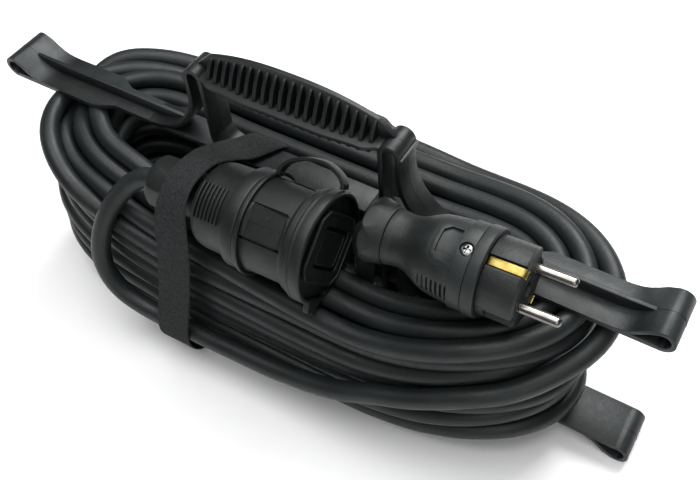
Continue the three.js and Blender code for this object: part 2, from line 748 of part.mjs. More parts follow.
const BLACK = 0x17181a;
const RUBBER = 0x1c1d1f;
const CORD = 0x202123;
const HARD_PLASTIC = 0x242528;
const SEAL = 0x2c2c2d;
const NICKEL = 0xc9ccd0;
const BRASS = 0xc9a24a;
const ZINC = 0xd5d7da;
const FABRIC = 0x1a1a1b;

add("winder_frame", winder(), BLACK, 0.5, 0);
add("hook_loop_strap", strap(), FABRIC, 0.95, 0);
add("cable_coil", coil(), CORD, 0.7, 0);

const socketLead = [
  [-62.9, -38.9, 109], [-72, -40.2, 107.6], [-84, -46, 98], [-97, -59.4, 80], [-99.2, -66.6, 58],
  [-92, -69.6, 39], [-78, -68.4, 29], [-62, -67.3, 25], [-44, -68.4, 26.5], [-34, -69.6, 28.4],
];
add("socket_lead", tube(socketLead, CORD_DIAMETER / 2, CORD_SIDES, 30), CORD, 0.7, 0);
const plugLead = [
  [60.2, -23.6, 122.9], [56.4, -23.4, 122], [51, -22.9, 118.2], [48.4, -22.3, 112],
  [48.1, -21.6, 102], [48.2, -21, 90], [50, -21, 76],
];
add("plug_lead", tube(plugLead, CORD_DIAMETER / 2, CORD_SIDES, 14), CORD, 0.7, 0);

const plugParts = {
  plug_housing: [plugHousing(), RUBBER, 0.6, 0],
  plug_contact_carrier: [plugCarrier(), HARD_PLASTIC, 0.45, 0],
  plug_pin_line: [plugPin(1), NICKEL, 0.2, 1],
  plug_pin_neutral: [plugPin(-1), NICKEL, 0.2, 1],
  plug_earth_strip_upper: [earthStrip(1), BRASS, 0.3, 1],
  plug_earth_strip_lower: [earthStrip(-1), BRASS, 0.3, 1],
  plug_housing_screw: [housingScrew(), ZINC, 0.3, 1],
  plug_terminal_screw_line: [terminalScrew(1), ZINC, 0.3, 1],
  plug_terminal_screw_neutral: [terminalScrew(-1), ZINC, 0.3, 1],
  plug_cord_clamp: [plugClampBar(), HARD_PLASTIC, 0.6, 0],
  plug_clamp_screw_a: [clampScrew(1), ZINC, 0.3, 1],
  plug_clamp_screw_b: [clampScrew(-1), ZINC, 0.3, 1],
  plug_cord_grommet: [ring(-69.4, -62, 5.8, 7.1, SMALL_SIDES), SEAL, 0.85, 0],
  plug_gland_nut: [plugNut(), RUBBER, 0.6, 0],
};
for (const [name, [part, colour, rough, metal]] of Object.entries(plugParts)) {
  add(name, placed(part, PLUG_AT), colour, rough, metal);
}

const couplingParts = {
  coupling_shell: [couplingShell(), RUBBER, 0.6, 0],
  coupling_rear_housing: [couplingRear(), RUBBER, 0.6, 0],
  coupling_contact_carrier: [couplingCarrier(), HARD_PLASTIC, 0.5, 0],
  coupling_sleeve_line: [couplingSleeve(1), BRASS, 0.3, 1],
  coupling_sleeve_neutral: [couplingSleeve(-1), BRASS, 0.3, 1],
  coupling_earth_clip_upper: [earthClip(1), BRASS, 0.3, 1],
  coupling_earth_clip_lower: [earthClip(-1), BRASS, 0.3, 1],
  coupling_centre_screw: [centreScrew(), ZINC, 0.3, 1],
  coupling_cord_grommet: [ring(-95.6, -86.4, 5.8, 12.1, SMALL_SIDES), SEAL, 0.85, 0],
  coupling_gland_nut: [couplingNut(), RUBBER, 0.6, 0],
  coupling_cap: [cap(), RUBBER, 0.6, 0],
  coupling_cap_seal: [capSeal(), SEAL, 0.85, 0],
  coupling_cap_tether: [tether(), RUBBER, 0.7, 0],
};
for (const [name, [part, colour, rough, metal]] of Object.entries(couplingParts)) {
  add(name, placed(part, COUPLING_AT), colour, rough, metal);
}

export default group;
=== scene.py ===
import math

import bmesh
import bpy
import numpy as np
from mathutils import Matrix, Vector


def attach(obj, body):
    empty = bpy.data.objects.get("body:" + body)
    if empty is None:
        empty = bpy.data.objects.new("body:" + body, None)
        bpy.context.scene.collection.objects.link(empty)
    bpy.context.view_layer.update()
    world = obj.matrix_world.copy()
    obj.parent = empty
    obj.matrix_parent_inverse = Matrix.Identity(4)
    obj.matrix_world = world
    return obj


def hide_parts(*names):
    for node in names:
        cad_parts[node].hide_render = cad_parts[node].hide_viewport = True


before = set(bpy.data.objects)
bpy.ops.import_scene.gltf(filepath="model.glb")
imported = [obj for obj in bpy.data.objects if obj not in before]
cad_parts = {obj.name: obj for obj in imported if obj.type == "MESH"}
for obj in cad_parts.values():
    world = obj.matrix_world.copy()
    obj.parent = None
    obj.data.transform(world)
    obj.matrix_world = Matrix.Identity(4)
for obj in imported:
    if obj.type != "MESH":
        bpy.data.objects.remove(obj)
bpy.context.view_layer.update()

# Extension lead on a hand winder. Shapes are written in millimetres and scaled by MM.
MM = 0.001

# Winder, as in the CAD model. FILLET, EAR and LOOP are arcs: centre x, centre z, radius of the middle line.
MID_Z = 60
RAIL_LOW = 107.4
RAIL_HIGH = 110
RAIL_HALF_WIDTH = 7.8
HORN_HALF_WIDTH = 13
KINK_INNER = 120
KINK_OUTER = 130.5
WALL = 2.6
FILLET = (94.5, 144, 35.3)
EAR = (54.8, 154.6, 4.5)
POST_FOOT_RADIUS = 10
LOOP = (188.8, 113.7, 5.2)
LOOP_WALL = 2.2
FIN_HALF = 1.1
FIN_RISE = 6
FIN_START = 72
LOWER_FIN_HALF_LENGTH = 80
GRIP_HALF_LENGTH = 50.3
GRIP_FLOOR = 155.6
GRIP_FLANGE = 158
SPINE_TOP = 173.9
SPINE_DROP = 6.4
SPINE_HALF_LENGTH = 47
RIB_COUNT = 20
RIB_PITCH = 4.75
RIB_HALF = 1
COLUMN_INNER = 49
COLUMN_OUTER = 60.6
COLUMN_BAYS = 4
COLUMN_OVERLAP = 0.5
GRIP_STEPS = 60
GRIP_TOOTH = 2.4
RIB_STEPS = 28
SEAM_HALF = 0.16
SEAM_PROUD = 0.3

# Cord. The coil's size, width and squareness change with its column, counted outwards from the frame.
CORD_DIAMETER = 10.8
CORD_STEP = 10
CORD_FINE_STEP = 4
COIL_CENTRE_X = -0.5
COIL_REACH = 160
COIL_LOW = 6
COIL_LOW_AT_ENDS = 12.6
COIL_HIGH = 101.4
COIL_A = (129.6, 11.3)
COIL_FRONT = (33, 11.1)
COIL_BACK = (27.4, 11.2)
COIL_BOXINESS = (7.0, -2.3, 0.29)
COIL_TURNS = 7
TOP_TURN = 0.9
POINTS_PER_TURN = 160
OUTER_TURN_FROM = -98
OUTER_TURN_TO = 160
OUTER_TURN_RISE = ([-98, -90, -69, -50, -40, -25, 0, 20], [0.38, 0.46, 0.62, 0.68, 0.69, 0.80, 0.95, 1.0])
LAST_TURN_TO = 262
FULL_TURN = 2 * math.pi
EASING_ROUNDS = 44
EASED_APART = 10.95
FLOOR_GAP = 0.05
ARM_GAP = 0.15

# Plug and coupling
PLUG_FACE_RADIUS = 18.3
PIN_RADIUS = 2.4
PIN_LENGTH = 19
PIN_SPACING = 19
SCREW_X = -25.9
SHELL_RADIUS = 24.6
CAP_RADIUS = 28.2
SHELL_FLAT = 23.05
REAR_RIBS = 7
REAR_RIB_FROM = -63.6
REAR_RIB_PITCH = 2.15
TETHER_SPIN = -78
TAB_SPIN = 101

# Facets, and the angle in degrees past which an edge is shaded sharp
FINE_SIDES = 128
SHARP_ANGLE = 38
SHELL_SHARP_ANGLE = 16
STRAP_SHARP_ANGLE = 60

# Studio, in metres and watts
LENS = 45.45
CAMERA_AT = (0.19426, -0.24092, 0.43667)
CAMERA_AIM = (-0.35962, 0.51195, -0.78012)
CAMERA_ROLL = -4.96
FLOOR_HALF_SIZE = 3.0
WORLD_STRENGTH = 0.15
LAMP_TARGET = (0, 0, 0.06)
LAMPS = [
    ("back_softbox", (0.08, 0.8, 1.1), 0.8, 20),
    ("top_softbox", (-0.1, -0.1, 1.5), 1.4, 24),
    ("front_fill", (0.5, -0.9, 0.8), 0.9, 4),
]


# ---------------------------------------------------------------- materials


class Nodes:
    """A material's node tree, with short calls for the nodes used here."""

    def __init__(self, name):
        self.material = bpy.data.materials.new(name)
        self.material["slot"] = name
        self.material.use_nodes = True
        self.tree = self.material.node_tree
        self.shader = self.tree.nodes["Principled BSDF"]
        self.place = self.tree.nodes.new("ShaderNodeTexCoord").outputs["Object"]

    def link(self, source, target):
        self.tree.links.new(source, target)

    def noise(self, scale, detail=4, rough=0.55, stretch=None):
        node = self.tree.nodes.new("ShaderNodeTexNoise")
        node.inputs["Scale"].default_value = scale
        node.inputs["Detail"].default_value = detail
        node.inputs["Roughness"].default_value = rough
        place = self.place
        if stretch:
            mapping = self.tree.nodes.new("ShaderNodeMapping")
            mapping.inputs["Scale"].default_value = stretch
            self.link(place, mapping.inputs["Vector"])
            place = mapping.outputs["Vector"]
        self.link(place, node.inputs["Vector"])
        return node.outputs["Fac"]

    def ramp(self, value, low, high, start=0.0, end=1.0):
        node = self.tree.nodes.new("ShaderNodeMapRange")
        node.inputs["From Min"].default_value = low
        node.inputs["From Max"].default_value = high
        node.inputs["To Min"].default_value = start
        node.inputs["To Max"].default_value = end
        self.link(value, node.inputs["Value"])
        return node.outputs["Result"]

    def mix(self, factor, dark, light):
        node = self.tree.nodes.new("ShaderNodeMix")
        node.data_type = "RGBA"
        for socket, value in (("A_Color", dark), ("B_Color", light)):
            target = next(s for s in node.inputs if s.identifier == socket)
            if isinstance(value, tuple):
                target.default_value = (*value, 1)
            else:
                self.link(value, target)
        self.link(factor, node.inputs["Factor"])
        return next(s for s in node.outputs if s.identifier == "Result_Color")

    def math(self, kind, first, second):
        node = self.tree.nodes.new("ShaderNodeMath")
        node.operation = kind
        for socket, value in zip(node.inputs, (first, second)):
            if isinstance(value, (int, float)):
                socket.default_value = value
            else:
                self.link(value, socket)
        return node.outputs["Value"]

    def bump(self, height, distance, strength=1.0):
        node = self.tree.nodes.new("ShaderNodeBump")
        node.inputs["Distance"].default_value = distance
        node.inputs["Strength"].default_value = strength
        self.link(height, node.inputs["Height"])
        self.link(node.outputs["Normal"], self.shader.inputs["Normal"])

    def edge_wear(self):
        """Bright where the surface is convex at small scale."""
        node = self.tree.nodes.new("ShaderNodeNewGeometry")
        return self.ramp(node.outputs["Pointiness"], 0.53, 0.62)

    def set(self, **values):
        for name, value in values.items():
            socket = self.shader.inputs[name.replace("_", " ").title().replace("Ior", "IOR")]
            if hasattr(value, "is_output"):
                self.link(value, socket)
            else:
                socket.default_value = value


def black_moulding(name, dark, light, rough, grain, texture, wear):
    """Black rubber or plastic: mottled colour, handling marks, uneven sheen, fine mould texture."""
    n = Nodes(name)
    patches = n.ramp(n.noise(38, 5), 0.36, 0.68)
    marks = n.ramp(n.noise(900, 3, 0.7), 0.56, 0.72)
    body = n.mix(patches, dark, light)
    marked = n.mix(n.math("MULTIPLY", marks, 0.35), body, tuple(2.6 * c for c in light))
    worn = n.mix(n.math("MULTIPLY", n.edge_wear(), wear), marked, tuple(4 * c for c in light))
    sheen = n.ramp(n.noise(120, 6, 0.65), 0.3, 0.7, rough[0], rough[1])
    fine = n.math("ADD", n.noise(grain, 3, 0.6), n.math("MULTIPLY", n.noise(260, 4), 1.4))
    n.set(base_color=worn, roughness=sheen, specular_ior_level=0.32)
    n.bump(fine, texture)
    return n.material


def cable_sheath():
    """Drawn rubber sheath: talc-grey bloom, soft long streaks, slightly orange-peel surface."""
    n = Nodes("cable_rubber")
    bloom = n.ramp(n.noise(24, 4), 0.38, 0.66)
    dust = n.ramp(n.noise(1300, 4, 0.75), 0.5, 0.78)
    body = n.mix(bloom, (0.0058, 0.0076, 0.0078), (0.0108, 0.0138, 0.014))
    colour = n.mix(n.math("MULTIPLY", dust, 0.4), body, (0.031, 0.037, 0.037))
    sheen = n.ramp(n.noise(70, 6, 0.7), 0.3, 0.7, 0.36, 0.56)
    n.set(base_color=colour, roughness=sheen, specular_ior_level=0.3)
    n.bump(n.math("ADD", n.noise(520, 4), n.math("MULTIPLY", n.noise(2600, 2), 0.35)), 0.00013)
    return n.material


def plated_metal(name, colour, tint, rough, metallic=1.0):
    """Plated or brushed metal: fine lengthwise wear, faint staining."""
    n = Nodes(name)
    stain = n.ramp(n.noise(240, 5, 0.6), 0.42, 0.72)
    lines = n.noise(900, 4, 0.6, stretch=(0.06, 1, 1))
    n.set(base_color=n.mix(stain, colour, tint), metallic=metallic)
    n.set(roughness=n.ramp(lines, 0.3, 0.7, rough[0], rough[1]))
    n.bump(lines, 0.00002)
    return n.material


def woven_band():
    """Hook-and-loop band: crossing ribs of a close weave under a short fuzz."""
    n = Nodes("strap_fabric")
    uv = n.tree.nodes.new("ShaderNodeTexCoord").outputs["UV"]
    heights = []
    for turn in (45, -45):
        mapping = n.tree.nodes.new("ShaderNodeMapping")
        mapping.inputs["Rotation"].default_value = (0, 0, math.radians(turn))
        n.link(uv, mapping.inputs["Vector"])
        wave = n.tree.nodes.new("ShaderNodeTexWave")
        wave.inputs["Scale"].default_value = 250
        wave.inputs["Distortion"].default_value = 1.2
        wave.inputs["Detail"].default_value = 2
        n.link(mapping.outputs["Vector"], wave.inputs["Vector"])
        heights.append(wave.outputs["Fac"])
    weave = n.math("MAXIMUM", heights[0], heights[1])
    fuzz = n.noise(3800, 5, 0.8)
    lint = n.ramp(n.noise(1500, 5, 0.8), 0.6, 0.78)
    grain = n.ramp(n.noise(850, 3, 0.7), 0.4, 0.6, 0.15, 1)
    threads = n.math("MULTIPLY", n.ramp(weave, 0.45, 0.95), grain)
    base = n.mix(threads, (0.001, 0.0013, 0.0014), (0.044, 0.052, 0.054))
    n.set(base_color=n.mix(n.math("MULTIPLY", lint, 0.5), base, (0.05, 0.055, 0.056)))
    n.set(roughness=0.92, sheen_weight=0.05, sheen_roughness=0.4, specular_ior_level=0.2)
    n.bump(n.math("ADD", weave, n.math("MULTIPLY", fuzz, 0.9)), 0.00035)
    return n.material


def floor_paint():
    n = Nodes("studio_floor")
    n.set(base_color=n.mix(n.noise(3, 3), (0.86, 0.86, 0.865), (0.9, 0.9, 0.905)), roughness=0.6)
    n.bump(n.noise(90, 4), 0.0002, 0.2)
    return n.material


WINDER = black_moulding(
    "winder_plastic", (0.0032, 0.004, 0.0042), (0.0058, 0.0073, 0.0076), (0.34, 0.5), 1500, 0.00011, 0.55)
HOUSING = black_moulding(
    "housing_rubber", (0.0037, 0.0048, 0.0048), (0.0068, 0.0085, 0.0084), (0.4, 0.56), 1900, 0.00009, 0.25)
CARRIER = black_moulding(
    "carrier_plastic", (0.005, 0.0063, 0.0066), (0.0095, 0.0116, 0.0118), (0.36, 0.5), 1700, 0.00016, 0.2)
SEAL = black_moulding(
    "seal_rubber", (0.014, 0.014, 0.015), (0.024, 0.024, 0.026), (0.6, 0.8), 2200, 0.00006, 0.1)
CABLE = cable_sheath()
NICKEL = plated_metal("pin_metal", (0.2, 0.195, 0.18), (0.14, 0.135, 0.12), (0.16, 0.28))
BRASS = plated_metal("contact_brass", (0.26, 0.2, 0.06), (0.17, 0.12, 0.03), (0.2, 0.34))
ZINC = plated_metal("screw_steel", (0.24, 0.245, 0.25), (0.15, 0.15, 0.155), (0.24, 0.38))
FABRIC = woven_band()

CAD_LOOKS = {
    "coupling_contact_carrier": CARRIER,
    "coupling_sleeve_line": BRASS,
    "coupling_sleeve_neutral": BRASS,
    "coupling_earth_clip_upper": BRASS,
    "coupling_earth_clip_lower": BRASS,
    "coupling_centre_screw": ZINC,
    "coupling_cord_grommet": SEAL,
    "coupling_cap_seal": SEAL,
    "plug_terminal_screw_line": ZINC,
    "plug_terminal_screw_neutral": ZINC,
    "plug_cord_clamp": CARRIER,
    "plug_clamp_screw_a": ZINC,
    "plug_clamp_screw_b": ZINC,
    "plug_cord_grommet": SEAL,
}


def dress_cad_nodes():
    for name, material in CAD_LOOKS.items():
        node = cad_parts[name]
        if not node.material_slots:
            node.data.materials.append(material)
        for slot in node.material_slots:
            slot.material = material


# ------------------------------------------------------------- shape helpers


def smooth_step(a, b, x):
    u = min(max((x - a) / (b - a), 0.0), 1.0)
    return u * u * (3 - 2 * u)


def frame_matrix(origin, forward, spin):
    x = Vector(forward).normalized()
    side = Vector((0, 0, 1)).cross(x).normalized()
    up = x.cross(side)
    a = math.radians(spin)
    z = side * math.cos(a) + up * math.sin(a)
    y = z.cross(x)
    m = Matrix.Identity(4)
    for column, axis in enumerate((x, y, z, Vector(origin))):
        for row in range(3):
            m[row][column] = axis[row]
    return m


PLUG_AT = frame_matrix((131.3, -22.9, 126.2), (0.9989, 0.014, 0.044), 108.4)
COUPLING_AT = frame_matrix((40.2, -37.35, 112.3), (0.999, 0.015, 0.032), 126)
IN_PLACE = Matrix.Identity(4)


def placed(name, data):
    """A new object of the scene, holding the data."""
    obj = bpy.data.objects.new(name, data)
    bpy.context.scene.collection.objects.link(obj)
    return obj


def facing_out(mesh, merge=0.0):
    """Turns every face outwards, after merging points that lie closer than merge."""
    b = bmesh.new()
    b.from_mesh(mesh)
    if merge:
        bmesh.ops.remove_doubles(b, verts=b.verts, dist=merge)
    bmesh.ops.recalc_face_normals(b, faces=b.faces)
    b.to_mesh(mesh)
    b.free()
    return mesh


def clean(mesh):
    return facing_out(mesh, 1e-4)


def shape(points, faces):
    mesh = bpy.data.meshes.new("shape")
    mesh.from_pydata([tuple(p) for p in points], [], faces)
    return clean(mesh)


def prism(outline, low, high, place):
    """A straight-sided solid: outline is drawn in two of the axes, and place(u, v, w) orders them."""
    n = len(outline)
    points = [place(u, v, w) for w in (low, high) for u, v in outline]
    faces = [list(range(n))[::-1], list(range(n, 2 * n))]
    faces += [[i, (i + 1) % n, n + (i + 1) % n, n + i] for i in range(n)]
    return shape(points, faces)


def prism_xy(outline, low, high):
    return prism(outline, low, high, lambda u, v, w: (u, v, w))


def prism_xz(outline, low, high):
    return prism(outline, low, high, lambda u, v, w: (u, w, v))


def prism_yz(outline, low, high):
    return prism(outline, low, high, lambda u, v, w: (w, u, v))


def block(x0, x1, y0, y1, z0, z1):
    return prism_xy([(x0, y0), (x1, y0), (x1, y1), (x0, y1)], z0, z1)


def turned(profile, sides=96):
    """Turned about X from (x, radius) points. A profile that leaves the axis closes on itself."""
    rings = []
    points = []
    for x, r in profile:
        if r < 1e-6:
            rings.append([len(points)])
            points.append((x, 0, 0))
            continue
        rings.append(list(range(len(points), len(points) + sides)))
        for i in range(sides):
            a = 2 * math.pi * i / sides
            points.append((x, r * math.cos(a), r * math.sin(a)))
    on_axis = profile[0][1] < 1e-6
    count = len(rings)
    faces = []
    for i in range(count - 1 if on_axis else count):
        first, second = rings[i], rings[(i + 1) % count]
        for k in range(sides):
            k2 = (k + 1) % sides
            quad = [first[k % len(first)], first[k2 % len(first)],
                    second[k2 % len(second)], second[k % len(second)]]
            quad = list(dict.fromkeys(quad))
            if len(quad) > 2:
                faces.append(quad)
    return shape(points, faces)


def ring(x0, x1, inner, outer, sides=96):
    return turned([(x0, inner), (x0, outer), (x1, outer), (x1, inner)], sides)


def rod(x0, x1, radius, sides=48):
    return turned([(x0, 0), (x0, radius), (x1, radius), (x1, 0)], sides)


def moved(mesh, x=0, y=0, z=0):
    mesh.transform(Matrix.Translation((x, y, z)))
    return mesh


def stood_up(mesh, x, y):
    """Turns a shape that lies along X to stand along Z at (x, y)."""
    mesh.transform(Matrix(((0, 0, 1, x), (0, 1, 0, y), (1, 0, 0, 0), (0, 0, 0, 1))))
    return clean(mesh)


def rod_z(x, y, z0, z1, radius, sides=32):
    return stood_up(rod(z0, z1, radius, sides), x, y)


def spun(mesh, degrees):
    mesh.transform(Matrix.Rotation(math.radians(degrees), 4, "X"))
    return mesh


def together(*meshes):
    """One mesh holding all of the given ones, which may overlap."""
    b = bmesh.new()
    for mesh in meshes:
        b.from_mesh(mesh)
        bpy.data.meshes.remove(mesh)
    out = bpy.data.meshes.new("shape")
    b.to_mesh(out)
    b.free()
    return out


def with_modifiers(mesh, *setups):
    """Applies modifiers, each given as (type, settings), and returns the new mesh."""
    obj = placed("working", mesh)
    for kind, settings in setups:
        modifier = obj.modifiers.new(kind.lower(), kind)
        for key, value in settings.items():
            setattr(modifier, key, value)
    bpy.context.view_layer.update()
    result = bpy.data.meshes.new_from_object(obj.evaluated_get(bpy.context.evaluated_depsgraph_get()))
    bpy.data.objects.remove(obj)
    bpy.data.meshes.remove(mesh)
    return result


def combined(first, second, how):
    tool = placed("tool", second)
    settings = {"operation": how, "object": tool, "solver": "EXACT", "use_self": how != "INTERSECT"}
    result = with_modifiers(first, ("BOOLEAN", settings))
    bpy.data.objects.remove(tool)
    bpy.data.meshes.remove(second)
    return clean(result)


def cut(first, *others):
    return combined(first, together(*others), "DIFFERENCE")


def joined(first, *others):
    return combined(first, together(*others), "UNION")


def common(first, second):
    return combined(first, second, "INTERSECT")


def softened(mesh, width, segments=2, angle=32):
    settings = {"width": width, "segments": segments, "limit_method": "ANGLE"}
    settings["angle_limit"] = math.radians(angle)
    return with_modifiers(mesh, ("BEVEL", settings))


def piece(name, mesh, material, body, place=IN_PLACE, replaces=(), sharp=SHARP_ANGLE):
    """Puts a finished millimetre mesh into the scene, in metres, riding on its body."""
    mesh.transform(Matrix.Scale(MM, 4) @ place)
    mesh.name = name
    for polygon in mesh.polygons:
        polygon.use_smooth = True
    mesh.set_sharp_from_angle(angle=math.radians(sharp))
    mesh.materials.clear()
    mesh.materials.append(material)
    obj = placed(name, mesh)
    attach(obj, body)
    if replaces:
        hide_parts(*replaces)
    return obj


def arc(cx, cz, radius, start, end, steps):
    out = []
    for i in range(steps + 1):
        a = math.radians(start + (end - start) * i / steps)
        out.append((cx + radius * math.cos(a), cz + radius * math.sin(a)))
    return out


def ribbon(line, thickness):
    """The closed outline of a line of constant thickness with mitred corners."""
    half = thickness / 2
    left = []
    right = []
    for i, here in enumerate(line):
        p = Vector(here)
        before = (p - Vector(line[max(i - 1, 0)])).normalized()
        after = (Vector(line[min(i + 1, len(line) - 1)]) - p).normalized()
        if i == 0:
            before = after
        if i == len(line) - 1:
            after = before
        normal = Vector((-before.y - after.y, before.x + after.x)).normalized()
        reach = half / max(normal.dot(Vector((-before.y, before.x))), 0.4)
        left.append(tuple(p + normal * reach))
        right.append(tuple(p - normal * reach))
    return left + right[::-1]


def curve_through(points, per_span):
    """A Catmull-Rom curve through the points, as an array."""
    p = np.array(points, float)
    padded = np.vstack([2 * p[0] - p[1], p, 2 * p[-1] - p[-2]])
    out = []
    for i in range(len(p) - 1):
        a, b, c, d = padded[i:i + 4]
        for k in range(per_span):
            u = k / per_span
            out.append(0.5 * (2 * b + (c - a) * u + (2 * a - 5 * b + 4 * c - d) * u * u
                              + (3 * b - a - 3 * c + d) * u ** 3))
    out.append(p[-1])
    return np.array(out)


def evenly(points, step):
    """The same line with points a constant distance apart, and its length."""
    length = np.concatenate([[0], np.cumsum(np.linalg.norm(np.diff(points, axis=0), axis=1))])
    count = int(round(length[-1] / step))
    along = np.linspace(0, length[-1], count + 1)
    return np.stack([np.interp(along, length, points[:, k]) for k in range(3)], axis=1), length[-1]


# ------------------------------------------------------------------- camera


def add_camera():
    data = bpy.data.cameras.new("camera")
    data.sensor_width = 36
    data.lens = LENS
    camera = placed("camera", data)
    level = Vector(CAMERA_AIM).to_track_quat("-Z", "Y").to_matrix().to_4x4()
    roll = Matrix.Rotation(math.radians(CAMERA_ROLL), 4, "Z")
    camera.matrix_world = Matrix.Translation(CAMERA_AT) @ level @ roll
    bpy.context.scene.camera = camera


# --------------------------------------------------------------------- cord

COUPLING_EXIT = (-62.9, -38.9, 109)
FROM_COUPLING = [
    COUPLING_EXIT, (-70, -39.6, 108.2), (-81, -44.5, 101), (-91, -55, 86), (-95.6, -63.6, 68),
    (-95.2, -68.4, 52), (-88, -70.6, 38.5), (-76, -70.4, 30.5), (-62, -69.7, 27), (-46, -69.7, 27.2),
]
INTO_PLUG = [
    (12, -25, 18), (29, -22.3, 36), (40, -21.2, 56), (46, -21, 74), (48, -21, 90), (48.1, -21.6, 102),
    (48.6, -22.3, 112), (51.2, -22.9, 118.2), (56.4, -23.4, 122), (60.2, -23.6, 122.9),
]


def turn_point(column, height, t, wander=1.0):
    """A point of the coil at angle t: column 0 to 3 from the frame outwards, height 0 to 1 upwards."""
    c, s = math.cos(t), math.sin(t)
    side = COIL_FRONT if s < 0 else COIL_BACK
    a = COIL_A[0] + COIL_A[1] * column
    b = side[0] + side[1] * column
    m = COIL_BOXINESS[0] + COIL_BOXINESS[1] * column + COIL_BOXINESS[2] * column ** 2
    along = abs(c) ** (2 / m)
    x = math.copysign(a * along, c)
    y = b * s
    nx = math.copysign(m * along ** (m - 1) / a, c)
    ny = 2 * s / b
    size = math.hypot(nx, ny)
    reach = abs(x) / COIL_REACH
    end = smooth_step(0.55, 0.93, reach)
    middle = 1 - smooth_step(0.35, 0.93, reach)
    front = 1 - smooth_step(-0.45, 0.25, s)
    low = COIL_LOW + COIL_LOW_AT_ENDS * end
    high = COIL_HIGH - (10 + 14 * front) * middle + (2 - 2.5 * column) * middle
    angle = math.atan2(y / b, x / a)
    k = 7 * column + 13.8 * height
    sideways = wander * (1.3 * math.sin(2 * angle + k) + math.sin(3 * angle + 1.7 * k + 1))
    upwards = wander * (1.6 * math.sin(2 * angle + 1.3 * k + 2) + 1.3 * math.sin(3 * angle + 0.6 * k))
    if column < 2.5:
        sideways += middle * column / 2 * (front * (1.5 - 5 * height) + (1 - front) * (2 - 3 * height))
    sideways += end * (4 - 5 * height) * min(column, 2) / 2
    # The left end bulges at the front, and there the outermost turn dips below the one inside it.
    left = smooth_step(0.38, 0.9, -x / COIL_REACH)
    bulge = left * (1 - smooth_step(-0.4, 0.4, s))
    sideways += bulge * (12 - 10 * height ** 2) * min(column, 2) / 2
    outermost = smooth_step(1.7, 3, column) * height ** 6
    second = smooth_step(1.2, 2, column) * height ** 6 - outermost
    dip = left * (1 - smooth_step(0, 0.55, s))
    sideways += dip * (5 * second - 5.5 * outermost)
    upwards -= 38 * dip * outermost
    return (
        COIL_CENTRE_X + x + sideways * nx / size,
        y + sideways * ny / size,
        low + (high - low) * height + upwards * (1 - 0.75 * end),
    )


def coil_turns():
    """The outermost turn, which climbs from the strap to the top, then three nested columns."""
    points = []
    step = FULL_TURN / POINTS_PER_TURN
    t = math.radians(OUTER_TURN_FROM)
    outer_end = math.radians(OUTER_TURN_TO)
    while t < outer_end - 1e-6:
        degrees = math.degrees(t)
        x, y, z = turn_point(3, float(np.interp(degrees, *OUTER_TURN_RISE)), t, 0.3)
        free = smooth_step(OUTER_TURN_FROM, OUTER_TURN_FROM + 30, degrees)
        points.append((x, y * free - 70 * (1 - free), z * free + 29 * (1 - free)))
        t += step
    last_part = math.radians(LAST_TURN_TO) - (outer_end + FULL_TURN * 3 * COIL_TURNS)
    extra = (last_part % FULL_TURN) / FULL_TURN
    for column in (2, 1, 0):
        turns = COIL_TURNS + (extra if column == 0 else 0)
        count = round(turns * POINTS_PER_TURN)
        for i in range(count):
            q = i / POINTS_PER_TURN
            if column == 1:
                height = min(q / (turns - TOP_TURN), 1)
            else:
                height = 1 - max(q - TOP_TURN, 0) / (turns - TOP_TURN)
            settle = smooth_step(0, 0.28, q)
            points.append(turn_point(column + 1 - settle, height, t))
            t += step
    return points


def keep_out(p):
    """Holds the cord above the floor and between the winder's upper and lower arms."""
    gap = CORD_DIAMETER / 2 + ARM_GAP
    p[:, 2] = np.maximum(p[:, 2], gap)
    half = np.where(np.abs(p[:, 0]) > KINK_INNER, HORN_HALF_WIDTH, RAIL_HALF_WIDTH) + 0.8 * gap
    under_arm = (np.abs(p[:, 1]) < half) & (np.abs(p[:, 0]) > COLUMN_OUTER)
    low = 2 * MID_Z - RAIL_LOW + gap
    p[under_arm, 2] = np.clip(p[under_arm, 2], low, RAIL_LOW - gap)


def eased_apart(base):
    """Moves turns that would lie in each other apart, with a smooth shift along the cord, ends held."""
    n = len(base)
    order = np.arange(n)
    free = np.ones(n)
    free[:14] = 0
    free[14:24] = np.linspace(0, 1, 10)
    free[-18:] = 0
    free[-26:-18] = np.linspace(1, 0, 8)
    free = free[:, None]
    shift = np.zeros_like(base)
    for _ in range(EASING_ROUNDS):
        p = base + shift
        a = p[:-1]
        ab = p[1:] - a
        size = (ab ** 2).sum(1)
        dot = p @ ab.T - (a * ab).sum(1)[None]
        u = np.clip(dot / size[None], 0, 1)
        far = (p ** 2).sum(1)[:, None] + (a ** 2).sum(1)[None] - 2 * p @ a.T
        gap = np.sqrt(np.maximum(far - 2 * u * dot + u * u * size[None], 1e-9))
        gap[np.abs(order[:, None] - order[None, :-1]) < 6] = 99
        i, j = np.where(gap < EASED_APART)
        uu = u[i, j][:, None]
        push = (p[i] - a[j] - uu * ab[j]) / gap[i, j][:, None] * ((EASED_APART - gap[i, j]) / 2)[:, None]
        move = np.zeros_like(p)
        np.add.at(move, i, push)
        np.add.at(move, j, -push * (1 - uu))
        np.add.at(move, j + 1, -push * uu)
        p = base + shift + np.clip(move, -1.2, 1.2) * free
        keep_out(p)
        shift = (p - base) * free
        for _ in range(2):
            shift[1:-1] = (0.25 * shift[:-2] + 0.5 * shift[1:-1] + 0.25 * shift[2:]) * free[1:-1]
    return base + shift


